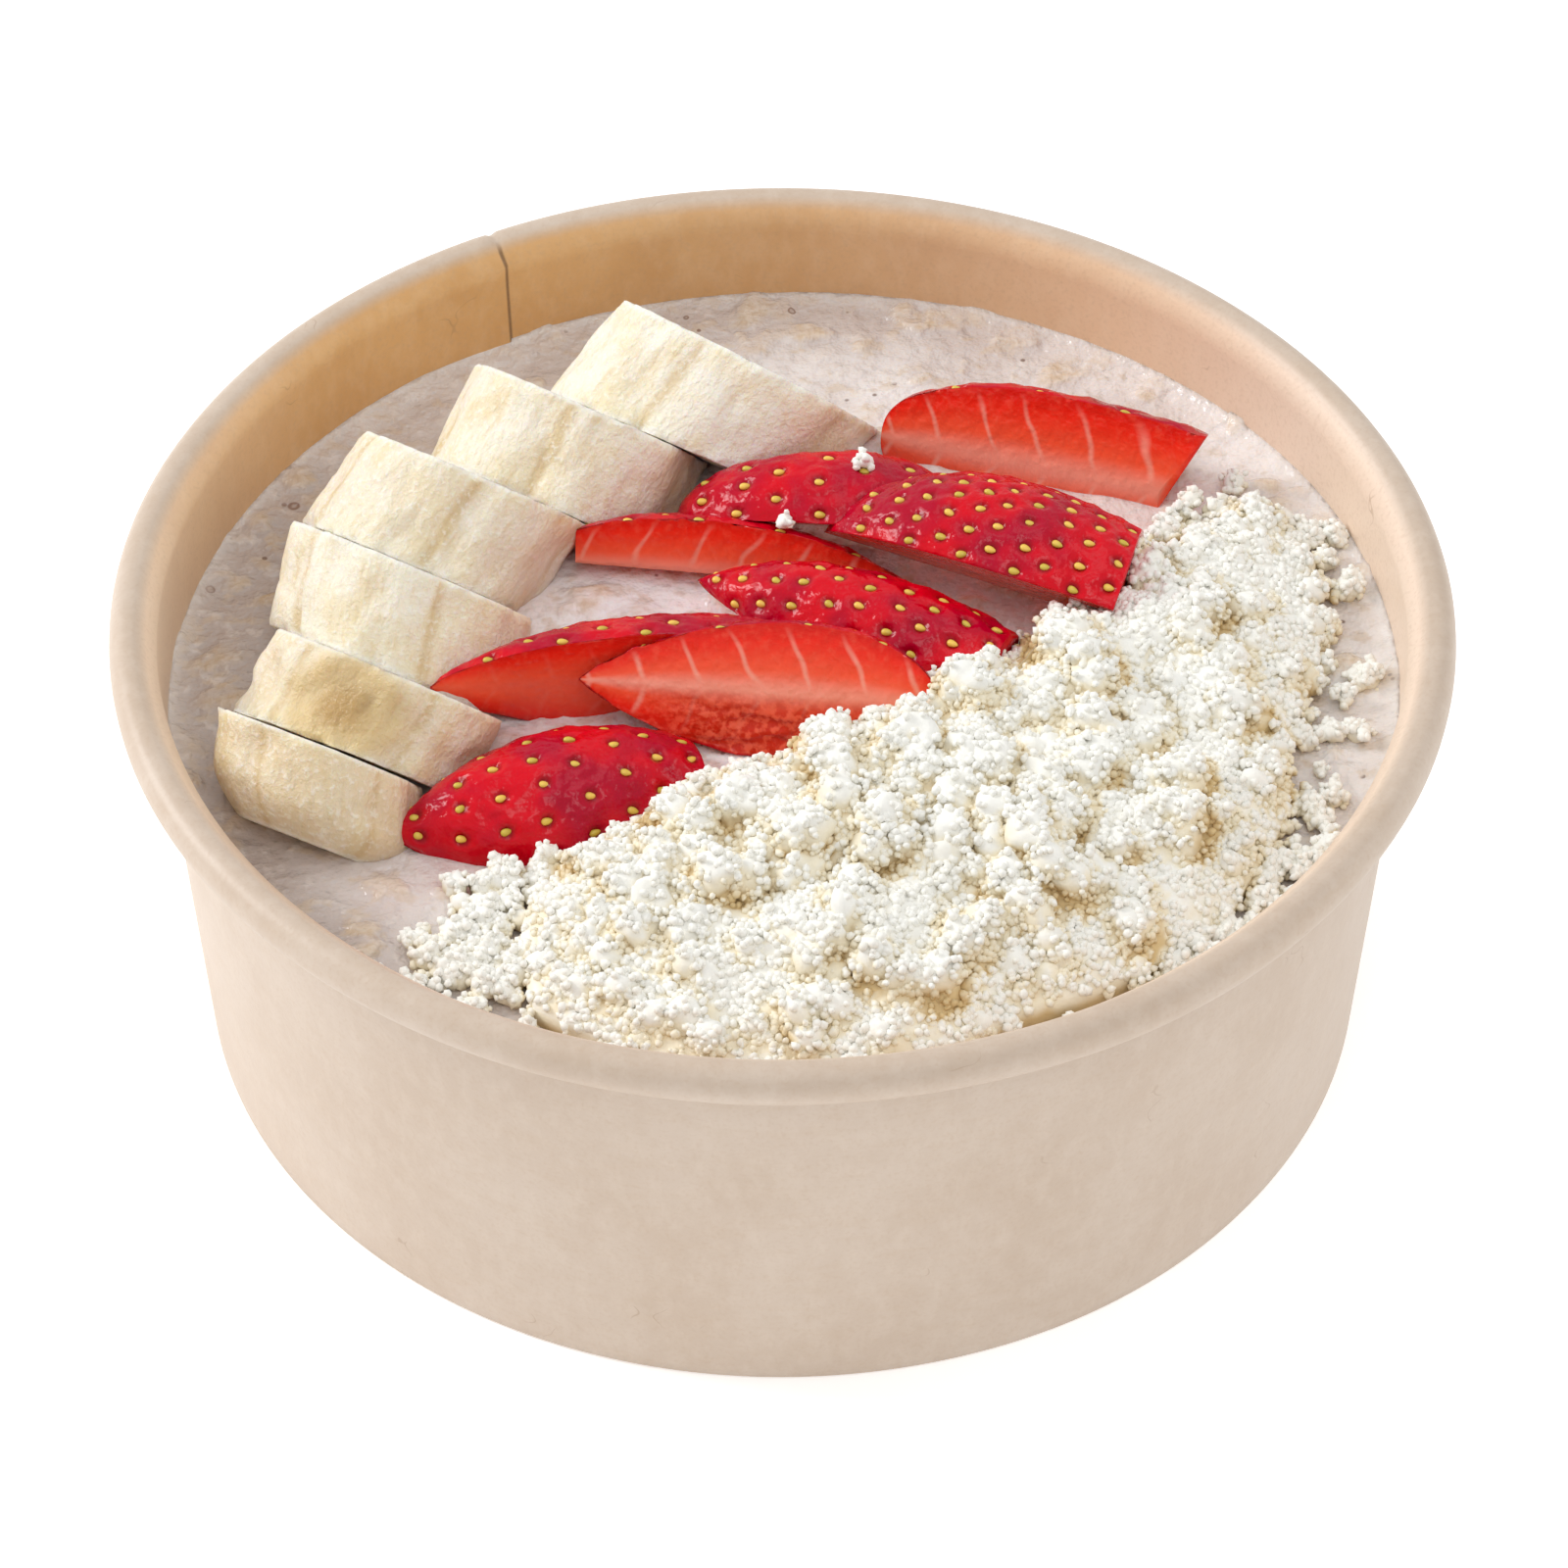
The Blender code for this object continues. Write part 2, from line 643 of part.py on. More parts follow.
def make_heap(finish, cutters):
    """Rings from the outline up to the crown, and a flat underside."""
    points = []
    for ring in range(HEAP_RINGS, 0, -1):
        share = ring / HEAP_RINGS
        for spoke in range(HEAP_SPOKES):
            x, y = heap_point(share, 2 * math.pi * spoke / HEAP_SPOKES)
            points.append((x, y, heap_top(x, y)))
    crown = len(points)
    points.append((*HEAP_CENTRE, heap_top(*HEAP_CENTRE)))
    base_start = len(points)
    for x, y, z in points[:HEAP_SPOKES]:
        points.append((x, y, level_at(x, y) - HEAP_EDGE))
    faces = []
    for ring in range(HEAP_RINGS - 1):
        for spoke in range(HEAP_SPOKES):
            k = (spoke + 1) % HEAP_SPOKES
            here = ring * HEAP_SPOKES
            faces.append((here + spoke, here + k, here + HEAP_SPOKES + k, here + HEAP_SPOKES + spoke))
    inner = (HEAP_RINGS - 1) * HEAP_SPOKES
    faces += [(inner + i, inner + (i + 1) % HEAP_SPOKES, crown) for i in range(HEAP_SPOKES)]
    for i in range(HEAP_SPOKES):
        k = (i + 1) % HEAP_SPOKES
        faces.append((base_start + i, base_start + k, k, i))
    faces.append(tuple(range(base_start + HEAP_SPOKES - 1, base_start - 1, -1)))
    heap = add_object("crumble_heap", points, faces, finish)
    lumps = scattered_lumps(LARGE_LUMPS, LUMP_RADII, 2) + scattered_lumps(SMALL_LUMPS, SMALL_LUMP_RADII, 1)
    combine(heap, lumps, "UNION")
    cut_at_level(heap)
    cut_back(heap, cutters)
    shade(heap, ROUGH_EDGE)


clear_scene()
kraft = material("kraft_paper", (0.56, 0.42, 0.29), 0.6)
oats = material("oat_porridge", (0.74, 0.68, 0.63), 0.25)
fruit = material("banana_flesh", (0.86, 0.74, 0.47), 0.5)
berry = material("strawberry_flesh", (0.55, 0.02, 0.02), 0.3)
crumble = material("white_crumble", (0.90, 0.88, 0.80), 0.9)

make_wall(kraft)
make_base(kraft)
make_porridge(oats)
berry_cutters = make_strawberries(berry)
for banana in make_banana_slices(fruit):
    cut_back(banana, berry_cutters)
    shade(banana, SHARP_EDGE)
make_heap(crumble, berry_cutters)
for cutter in berry_cutters:
    remove(cutter)
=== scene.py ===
# A paper bowl of oat porridge, topped with banana slices, strawberry wedges and white crumble.

import math
import random
from collections import namedtuple

import bmesh
import bpy
import numpy as np
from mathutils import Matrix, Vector, kdtree, noise


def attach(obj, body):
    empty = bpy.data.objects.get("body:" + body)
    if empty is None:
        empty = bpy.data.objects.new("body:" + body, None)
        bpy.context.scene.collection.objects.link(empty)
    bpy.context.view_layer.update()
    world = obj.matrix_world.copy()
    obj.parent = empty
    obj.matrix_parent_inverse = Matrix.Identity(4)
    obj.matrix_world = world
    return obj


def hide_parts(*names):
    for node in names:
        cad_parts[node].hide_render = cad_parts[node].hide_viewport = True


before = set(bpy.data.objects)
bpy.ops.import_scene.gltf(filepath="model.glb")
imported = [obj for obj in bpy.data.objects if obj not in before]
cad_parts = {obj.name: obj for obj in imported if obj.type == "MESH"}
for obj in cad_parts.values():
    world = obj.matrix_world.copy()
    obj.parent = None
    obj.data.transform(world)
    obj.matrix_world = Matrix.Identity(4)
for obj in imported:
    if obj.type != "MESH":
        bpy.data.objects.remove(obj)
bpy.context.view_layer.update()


# Camera
# It looks down on the bowl from the near side, as the photograph does, with a long lens.
CAMERA_PLACE = (0.0, -0.47278, 0.47608)
LOOKS_DOWN = 43.33
SENSOR_WIDTH_MM = 36.0
LENS_MM = 130.4
LENS_SHIFT = (0.00106, -0.0165)
NEAREST_SEEN = 0.01

camera = bpy.data.objects.new("camera", bpy.data.cameras.new("camera"))
bpy.context.scene.collection.objects.link(camera)
camera.location = CAMERA_PLACE
camera.rotation_euler = (math.radians(90.0 - LOOKS_DOWN), 0.0, 0.0)
camera.data.sensor_width = SENSOR_WIDTH_MM
camera.data.lens = LENS_MM
camera.data.shift_x, camera.data.shift_y = LENS_SHIFT
camera.data.clip_start = NEAREST_SEEN
bpy.context.scene.camera = camera
bpy.context.scene.view_settings.view_transform = "Standard"


# Floor and light
# A plain near-white floor under an even white sky, a large soft light from the back left
# and weaker ones from above, from the right and from the near side.
def paint(red, green, blue):
    """A colour as read off a screen, in the linear values that the shader takes."""
    shares = [value / 255.0 for value in (red, green, blue)]
    linear = [share / 12.92 if share <= 0.04045 else ((share + 0.055) / 1.055) ** 2.4 for share in shares]
    return (*linear, 1.0)


class Wire:
    """A socket in a finish's nodes. An expression on wires adds its Math nodes."""

    def __init__(self, finish, socket):
        self.finish = finish
        self.socket = socket

    def maths(self, operation, *values):
        return self.finish.node("ShaderNodeMath", {"operation": operation}, dict(enumerate(values)))

    def __add__(self, other):
        return self.maths("ADD", self, other)

    def __sub__(self, other):
        return self.maths("SUBTRACT", self, other)

    def __rsub__(self, other):
        return self.maths("SUBTRACT", other, self)

    def __mul__(self, other):
        return self.maths("MULTIPLY", self, other)

    def __abs__(self):
        return self.maths("ABSOLUTE", self)

    __radd__ = __add__
    __rmul__ = __mul__

    def rise(self, low, high):
        """0 at low and 1 at high with an eased step between; low may be the larger."""
        settings = {"interpolation_type": "SMOOTHSTEP"}
        values = {"Value": self, "From Min": low, "From Max": high}
        return self.finish.node("ShaderNodeMapRange", settings, values)


class Finish:
    """A material with one Principled shader, fed by expressions."""

    def __init__(self, name, **constants):
        self.material = bpy.data.materials.new(name)
        self.material.use_nodes = True
        self.tree = self.material.node_tree
        self.shader = self.tree.nodes["Principled BSDF"]
        for socket, value in constants.items():
            self.feed(self.shader.inputs[socket.replace("_", " ")], value)

    def feed(self, socket, value):
        if isinstance(value, Wire):
            self.tree.links.new(value.socket, socket)
        else:
            socket.default_value = value

    def node(self, kind, settings, values, output=0):
        """Any node: its settings first, then the values or wires of its sockets."""
        made = self.tree.nodes.new(kind)
        for name, value in settings.items():
            setattr(made, name, value)
        for socket, value in values.items():
            self.feed(made.inputs[socket], value)
        return Wire(self, made.outputs[output])

    def place(self, stretch=(1.0, 1.0, 1.0), attribute=None):
        """The point on the piece in metres, or a point that its mesh carries, stretched."""
        if attribute:
            point = self.node("ShaderNodeAttribute", {"attribute_name": attribute}, {}, "Vector")
        else:
            point = self.node("ShaderNodeTexCoord", {}, {}, "Object")
        return self.node("ShaderNodeVectorMath", {"operation": "MULTIPLY"}, {0: point, 1: stretch})

    def carried(self, attribute):
        """A number that the mesh carries at each of its points."""
        return self.node("ShaderNodeAttribute", {"attribute_name": attribute}, {}, "Fac")

    def cloud(self, place, size, detail=3.0, roughness=0.5):
        """Soft noise about 0.5, with features of that size in metres."""
        values = {"Vector": place, "Scale": 1.0 / size, "Detail": detail, "Roughness": roughness}
        return self.node("ShaderNodeTexNoise", {}, values)

    def cells(self, place, size):
        """How far the nearest of many scattered points is, in shares of that size."""
        return self.node("ShaderNodeTexVoronoi", {}, {"Vector": place, "Scale": 1.0 / size}, "Distance")

    def mix(self, share, first, second):
        return self.node("ShaderNodeMix", {"data_type": "RGBA"}, {0: share, 6: first, 7: second}, 2)

    def relief(self, height, depth):
        """Height from 0 to 1 as a bump of that depth in metres."""
        values = {"Height": height, "Distance": depth, "Strength": 1.0}
        self.feed(self.shader.inputs["Normal"], self.node("ShaderNodeBump", {}, values))

    def feel(self, colour, roughness):
        self.feed(self.shader.inputs["Base Color"], colour)
        self.feed(self.shader.inputs["Roughness"], roughness)


def new_piece(name, points, faces, finish, carried=None):
    """A mesh piece; carried holds numbers or vectors, one for each point."""
    mesh = bpy.data.meshes.new(name)
    mesh.from_pydata([tuple(point) for point in points], [], faces)
    mesh.materials.append(finish.material)
    for key, values in (carried or {}).items():
        values = np.asarray(values, float)
        kind, field = ("FLOAT_VECTOR", "vector") if values.ndim == 2 else ("FLOAT", "value")
        mesh.attributes.new(key, kind, "POINT").data.foreach_set(field, values.ravel())
    mesh.shade_smooth()
    piece = bpy.data.objects.new(name, mesh)
    bpy.context.scene.collection.objects.link(piece)
    return piece


FLOOR_SIZE = 6.0
FLOOR_GLOW = 0.36
SKY_STRENGTH = 0.62
# Each light's name, place, width in metres and power in watts
LIGHTS = (
    ("key light", (-0.88, 0.28, 0.60), 0.45, 6.6),
    ("top light", (0.10, 0.20, 1.10), 0.60, 1.1),
    ("side light", (0.95, 0.20, 0.45), 0.50, 1.35),
    ("front light", (0.12, -0.58, 1.05), 0.50, 2.1),
)

floor_finish = Finish("pale floor", Emission_Color=paint(255, 255, 255), Emission_Strength=FLOOR_GLOW)
floor_tone = floor_finish.cloud(floor_finish.place(), 0.4)
floor_finish.feel(floor_finish.mix(floor_tone, paint(246, 246, 246), paint(250, 250, 250)), 0.7)
corner = FLOOR_SIZE / 2.0
floor = new_piece(
    "floor",
    [(-corner, -corner, 0.0), (corner, -corner, 0.0), (corner, corner, 0.0), (-corner, corner, 0.0)],
    [(0, 1, 2, 3)],
    floor_finish,
)

world = bpy.data.worlds.new("white sky")
bpy.context.scene.world = world
world.use_nodes = True
sky = world.node_tree.nodes["Background"]
sky.inputs["Color"].default_value = (1.0, 1.0, 1.0, 1.0)
sky.inputs["Strength"].default_value = SKY_STRENGTH

for name, place, size, power in LIGHTS:
    light = bpy.data.objects.new(name, bpy.data.lights.new(name, "AREA"))
    bpy.context.scene.collection.objects.link(light)
    light.data.size = size
    light.data.energy = power
    light.location = place
    light.rotation_euler = Vector(place).to_track_quat("Z", "Y").to_euler()


# Bowl wall
# One blank of brown kraft paperboard, rolled into a cone and glued at an overlap seam at the
# back left. Its top edge is rolled outwards into a bead, and its foot is folded in as a hem.
RIM_RADIUS = 0.0750
BOWL_HEIGHT = 0.0555
FOOT_RADIUS = 0.0672
NECK_RADIUS = 0.0703
BEAD_WIDTH = 0.0045
BEAD_HEIGHT = 0.0049
PAPER = 0.0006
HEM_HEIGHT = 0.0060
HEM_THICKNESS = 0.0018
SEAM_ANGLE = math.radians(118.3)
SEAM_WIDTH = math.radians(10.0)
SEAM_STEP = 0.00035
SEAM_EDGE = math.radians(0.12)
SEAM_NOTCH = 0.0003
# How pale the inside is painted, by degrees round the bowl: a painted sheen, as of bright light glancing off
# the coated paper, strongest round the right and near side, faint at the back and absent at the back left
PAINTED_INSIDE_SHEEN = (
    (0, 0.85), (30, 0.80), (60, 0.35), (90, 0.08), (120, 0.0), (142, 0.0),
    (165, 0.35), (180, 0.65), (210, 0.7), (330, 0.8), (360, 0.85),
)
WALL_TURNS = 300
WALL_RISES = 30
BEAD_START = 150.0
BEAD_ROLL = 300.0
BEAD_STEPS = 22
FOOT_ROUND = 0.0004
WALL_WAVE = 0.00025


def wall_outer(z):
    return FOOT_RADIUS + (NECK_RADIUS - FOOT_RADIUS) * z / (BOWL_HEIGHT - BEAD_HEIGHT)


def wall_inner(z):
    return wall_outer(z) - PAPER


def wall_profile(angle):
    """Radius, height and whether it is inside, round one section of the wall."""
    neck = BOWL_HEIGHT - BEAD_HEIGHT
    bead_r = RIM_RADIUS - BEAD_WIDTH / 2
    bead_z = BOWL_HEIGHT - BEAD_HEIGHT / 2
    step = 0.0
    if SEAM_ANGLE < angle < SEAM_ANGLE + SEAM_WIDTH:
        step = SEAM_STEP * min(1.0, (SEAM_ANGLE + SEAM_WIDTH - angle) / (0.8 * SEAM_WIDTH))
    wave = WALL_WAVE * noise.noise(Vector((math.cos(angle), math.sin(angle), 0.0)) * 2.2)
    wave = min(0.0, wave - WALL_WAVE * 0.2)
    notch = SEAM_NOTCH * math.exp(-((angle - SEAM_ANGLE) / SEAM_EDGE / 3.0) ** 2)
    profile = [
        (FOOT_RADIUS - HEM_THICKNESS, 0.0, 1.0),
        (wall_outer(HEM_HEIGHT) - HEM_THICKNESS, HEM_HEIGHT, 1.0),
    ]
    for i in range(WALL_RISES + 1):
        z = HEM_HEIGHT + (bead_z - HEM_HEIGHT) * i / WALL_RISES
        profile.append((wall_inner(min(z, neck)) - step, z, 1.0))
    for i in range(BEAD_STEPS + 1):
        share = i / BEAD_STEPS
        turn = math.radians(BEAD_START - BEAD_ROLL * share)
        r = bead_r + (BEAD_WIDTH / 2 - notch) * math.cos(turn)
        z = bead_z + (BEAD_HEIGHT / 2 - notch) * math.sin(turn)
        profile.append((r + wave * (0.4 + 0.6 * share), z, max(0.0, 1.0 - 8.0 * share)))
    for i in range(WALL_RISES + 1):
        z = neck + (FOOT_ROUND - neck) * i / WALL_RISES
        profile.append((wall_outer(z) + 0.3 * wave, z, 0.0))
    profile.append((FOOT_RADIUS - FOOT_ROUND, 0.0, 0.0))
    return profile


def make_wall(finish):
    angles = [2 * math.pi * step / WALL_TURNS for step in range(WALL_TURNS)]
    for edge in (SEAM_ANGLE, SEAM_ANGLE + SEAM_WIDTH):
        angles += [edge - SEAM_EDGE, edge + SEAM_EDGE]
    angles.sort()
    points = []
    inside = []
    pale = []
    seam = []
    for angle in angles:
        profile = wall_profile(angle)
        for r, z, within in profile:
            points.append((r * math.cos(angle), r * math.sin(angle), z))
            inside.append(within)
            # pale: the painted sheen on the inside at this turn
            pale.append(float(np.interp(math.degrees(angle) % 360, *zip(*PAINTED_INSIDE_SHEEN))))
            seam.append((angle - SEAM_ANGLE) * RIM_RADIUS)
    count = len(profile)
    faces = []
    for i in range(len(angles)):
        here = i * count
        there = (i + 1) % len(angles) * count
        for j in range(count):
            k = (j + 1) % count
            faces.append((here + j, there + j, there + k, here + k))
    return new_piece("paper_wall", points, faces, finish, {"inside": inside, "pale": pale, "seam": seam})


def hairs(finish, place, size, scarcity):
    """Short curled fibres: narrow level lines of a soft noise, kept in a few places."""
    line = abs(finish.cloud(place, size, 1.0) - 0.5)
    kept = finish.cloud(place, size * 1.7, 1.0).rise(scarcity, scarcity + 0.05)
    return line.rise(0.010, 0.003) * kept


def kraft_finish(name, has_inside):
    """Brown board: cloudy mottling, fine grain, short curled fibres and a soft sheen; a painted sheen pales
    its inside by degrees round the bowl.
    """
    finish = Finish(name, Specular_IOR_Level=0.5)
    place = finish.place()
    clouds = finish.cloud(place, 0.016, 4.0, 0.55)
    mottle = finish.cloud(finish.place((1.0, 1.0, 0.6)), 0.0022, 4.0, 0.6)
    level_streaks = finish.cloud(finish.place((1.0, 1.0, 5.0)), 0.0060, 3.0)
    grain = finish.cloud(place, 0.0005, 2.0)
    outer = finish.mix(clouds.rise(0.35, 0.68), paint(203, 185, 168), paint(197, 177, 158))
    outer = finish.mix(level_streaks.rise(0.45, 0.70) * 0.4, outer, paint(198, 177, 156))
    outer = finish.mix(mottle.rise(0.38, 0.72) * 0.4, outer, paint(212, 196, 180))
    colour = outer
    if has_inside:
        inner = finish.mix(clouds.rise(0.35, 0.68), paint(220, 172, 114), paint(211, 161, 103))
        inner = finish.mix(mottle.rise(0.38, 0.72) * 0.35, inner, paint(228, 190, 144))
        # Painted sheen: the inside paled where bright light would glance off it
        inner = finish.mix(finish.carried("pale"), inner, paint(240, 222, 206))
        colour = finish.mix(finish.carried("inside"), outer, inner)
        seam_line = abs(finish.carried("seam")).rise(0.00045, 0.00010)
        colour = finish.mix(seam_line * finish.carried("inside") * 0.75, colour, paint(96, 66, 38))
    dark_hairs = hairs(finish, place, 0.0045, 0.68)
    colour = finish.mix(dark_hairs * 0.32, colour, paint(150, 112, 76))
    colour = finish.mix(grain.rise(0.45, 0.8) * 0.22, colour, paint(186, 156, 126))
    finish.feel(colour, mottle * 0.2 + 0.34)
    finish.relief(grain * 0.5 + mottle * 0.5, 0.00006)
    return finish


kraft = kraft_finish("kraft board", True)
wall = make_wall(kraft)
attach(wall, "root")
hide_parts("bowl_wall")


# Bowl base
# A flat disc of the same board, glued in just above the hem. Only its underside shows,
# from below.
kraft_base = kraft_finish("kraft base board", False)
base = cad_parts["bowl_base"]
base.data.materials.clear()
base.data.materials.append(kraft_base.material)


# Porridge
# Rolled oats in milk: flakes show through the wet surface or break it, and the milk creeps
# up the paper at its edge. Small dark specks lie at the back and left, with burst bubbles drawn
# there as painted shade, and painted shade from the wall darkens the milk at the left, back and near side.
LEVEL = 0.0430
LEVEL_RISE_X = 0.018
LEVEL_RISE_Y = -0.010
PORRIDGE_RELIEF = 0.0011
MENISCUS_SHARE = 0.05
OAT_SIZE = 0.0055
PATCH_SIZE = 0.0140
PORRIDGE_FLOOR = 0.0072
PORRIDGE_EDGE = wall_inner(LEVEL) + 0.0002
PORRIDGE_GRID = 214
SIDE_CLEARANCE = 0.0008
CREEP = 0.0006
CREEP_WIDTH = 0.0009
MILKY_EDGE = 0.0012
FLAKE_RISE = 0.0006
RIPPLE_SIZE = 0.0019
RIPPLE_HEIGHT = 0.00008
# Each flake that shows clearly: its place, length, width, heading in degrees and strength
SHOWN_FLAKES = (
    (-0.0223, 0.0144, 0.0030, 0.0018, 20.0, 1.0),
    (0.0176, 0.0446, 0.0036, 0.0022, -10.0, 0.7),
    (-0.0446, -0.0423, 0.0026, 0.0017, -25.0, 1.0),
    (0.0192, 0.0641, 0.0030, 0.0021, 10.0, 0.8),
    (-0.0569, 0.0357, 0.0026, 0.0019, 50.0, 0.9),
    (-0.0604, 0.0283, 0.0034, 0.0015, 55.0, 0.9),
    (-0.0637, 0.0179, 0.0023, 0.0017, 10.0, 0.7),
    (-0.0638, 0.0043, 0.0036, 0.0022, 30.0, 0.6),
    (-0.0435, -0.0329, 0.0030, 0.0019, -10.0, 0.5),
    (0.0286, 0.0601, 0.0032, 0.0019, -20.0, 0.7),
    (0.0331, 0.0535, 0.0036, 0.0021, 15.0, 0.7),
    (0.0097, 0.0606, 0.0024, 0.0017, 70.0, 0.6),
    (-0.0033, 0.0599, 0.0026, 0.0018, 30.0, 0.5),
)
# Smaller flakes lie anywhere under the milk
SMALL_FLAKES = 300
SMALL_FLAKE_LENGTHS = (0.0014, 0.0034)
SMALL_FLAKE_WIDTHS = (0.5, 0.8)
SMALL_FLAKE_STRENGTHS = (0.2, 0.9)
# Painted shade from the wall, darkening the milk towards the left, the back and the near side: how far out
# each starts, how wide it grows over, and how strong it gets
WALL_SHADE_LEFT = (0.036, 0.022, 1.0)
WALL_SHADE_BACK = (0.046, 0.015, 0.5)
WALL_SHADE_NEAR = (0.030, 0.010, 0.35)
RICH_CENTRE = (-0.006, 0.006)
RICH_REACH = (0.026, 0.022)
# Painted pink light, as reflected from the strawberries, tints the milk along these lines, from x and y to x
# and y
BERRY_GLOW_WIDTH = 0.0042
BERRY_GLOW_LINES = (
    (-0.0110, 0.0050, 0.0060, 0.0010),
    (-0.0200, -0.0110, -0.0050, -0.0160),
    (0.0160, 0.0330, 0.0420, 0.0260),
    (-0.0300, 0.0130, -0.0080, 0.0120),
    (-0.0420, -0.0330, -0.0230, -0.0290),
)
# Each burst bubble, drawn only as painted shade of its small crater, a darker middle and a dark ring: its
# place and radius
BUBBLES = (
    (0.0012, 0.0663, 0.00050),
    (-0.0101, 0.0629, 0.00035),
    (0.0079, 0.0661, 0.00035),
    (-0.0572, 0.0312, 0.00075),
    (-0.0583, 0.0314, 0.00045),
    (-0.0637, 0.0136, 0.00035),
    (-0.0658, 0.0162, 0.00055),
    (-0.0492, -0.0351, 0.00050),
    (-0.0117, 0.0654, 0.00040),
)


def level_at(x, y):
    return LEVEL + LEVEL_RISE_X * x + LEVEL_RISE_Y * y


def porridge_top(x, y):
    coarse = noise.noise(Vector((x, y, 0.0)) / PATCH_SIZE)
    fine = noise.noise(Vector((x, y, PATCH_SIZE)) / OAT_SIZE)
    dip = min(1.0, max(0.0, 0.5 + 0.3 * (coarse + fine)))
    from_wall = max(0.0, 1.0 - math.hypot(x, y) / wall_inner(LEVEL))
    return level_at(x, y) - PORRIDGE_RELIEF * dip * min(1.0, from_wall / MENISCUS_SHARE)


def disc_grid(steps, radius):
    """A square grid bent to fill a disc, so that its cells stay even."""
    points = []
    for j in range(steps + 1):
        for i in range(steps + 1):
            u = 2.0 * i / steps - 1.0
            v = 2.0 * j / steps - 1.0
            if u == 0.0 and v == 0.0:
                points.append((0.0, 0.0))
            elif abs(u) > abs(v):
                turn = math.pi / 4 * v / u
                points.append((radius * u * math.cos(turn), radius * u * math.sin(turn)))
            else:
                turn = math.pi / 2 - math.pi / 4 * u / v
                points.append((radius * v * math.cos(turn), radius * v * math.sin(turn)))
    return points


def growing(distance, start, width, most):
    """0 up to the start, and the most from that width beyond it."""
    return most * np.clip((distance - start) / width, 0.0, 1.0)


def make_porridge(finish):
    flat = disc_grid(PORRIDGE_GRID, PORRIDGE_EDGE)
    x, y = np.array(flat).T
    z = np.array([porridge_top(*place) for place in flat])
    ripple = np.array([noise.noise(Vector((u, v, 0.02)) / RIPPLE_SIZE) for u, v in flat])
    flake = np.zeros(len(flat))
    rise = np.zeros(len(flat))
    flakes = list(SHOWN_FLAKES)
    for _ in range(SMALL_FLAKES):
        turn = random.uniform(0.0, 2.0 * math.pi)
        reach = PORRIDGE_EDGE * math.sqrt(random.random())
        length = random.uniform(*SMALL_FLAKE_LENGTHS)
        strength = random.uniform(*SMALL_FLAKE_STRENGTHS)
        width = length * random.uniform(*SMALL_FLAKE_WIDTHS)
        at = (reach * math.cos(turn), reach * math.sin(turn))
        flakes.append((*at, length, width, random.uniform(0, 180), strength))
    for at_x, at_y, length, width, heading, strength in flakes:
        c, s = math.cos(math.radians(heading)), math.sin(math.radians(heading))
        along = ((x - at_x) * c + (y - at_y) * s) / length
        across = ((y - at_y) * c - (x - at_x) * s) / width
        inside = np.clip(2.6 - 2.4 * np.sqrt(along ** 2 + across ** 2) + 1.1 * ripple, 0.0, 1.0)
        inside = inside * inside * (3.0 - 2.0 * inside)
        flake = np.maximum(flake, inside * strength)
        rise = np.maximum(rise, inside * strength * FLAKE_RISE)
    from_edge = PORRIDGE_EDGE - np.hypot(x, y)
    creep = CREEP * np.exp(-from_edge / CREEP_WIDTH)
    height = z + rise + creep + RIPPLE_HEIGHT * ripple
    points = list(zip(x, y, height))
    side = PORRIDGE_GRID + 1
    faces = []
    for j in range(PORRIDGE_GRID):
        row = j * side
        faces += [(row + i, row + i + 1, row + side + i + 1, row + side + i) for i in range(PORRIDGE_GRID)]
    border = list(range(side))
    border += [j * side + PORRIDGE_GRID for j in range(1, side)]
    border += [PORRIDGE_GRID * side + i for i in range(PORRIDGE_GRID - 1, -1, -1)]
    border += [j * side for j in range(PORRIDGE_GRID - 1, 0, -1)]
    low = (wall_inner(PORRIDGE_FLOOR) - SIDE_CLEARANCE) / PORRIDGE_EDGE
    first = len(points)
    points += [(x[i] * low, y[i] * low, PORRIDGE_FLOOR) for i in border]
    count = len(border)
    faces += [(border[i], first + i, first + (i + 1) % count, border[(i + 1) % count]) for i in range(count)]
    faces.append(tuple(range(first + count - 1, first - 1, -1)))
    pad = [0.0] * count
    edge = np.exp(-from_edge / MILKY_EDGE)
    wall_shade = growing(-x, *WALL_SHADE_LEFT) + growing(y, *WALL_SHADE_BACK) + growing(-y, *WALL_SHADE_NEAR)
    wall_shade = np.clip(wall_shade, 0.0, 1.0)
    from_x, from_y = RICH_CENTRE
    rich = np.exp(-((x - from_x) / RICH_REACH[0]) ** 2 - ((y - from_y) / RICH_REACH[1]) ** 2)
    berry_glow = np.zeros(len(flat))
    for ax, ay, bx, by in BERRY_GLOW_LINES:
        way = np.array((bx - ax, by - ay))
        share = np.clip(((x - ax) * way[0] + (y - ay) * way[1]) / way.dot(way), 0.0, 1.0)
        away = np.hypot(x - ax - share * way[0], y - ay - share * way[1])
        berry_glow = np.maximum(berry_glow, np.exp(-(away / BERRY_GLOW_WIDTH) ** 2))
    carried = {"flake": flake, "edge": edge, "wall_shade": wall_shade, "rich": rich, "berry_glow": berry_glow}
    carried = {name: [*values, *pad] for name, values in carried.items()}
    return new_piece("milky_porridge", points, faces, finish, carried)


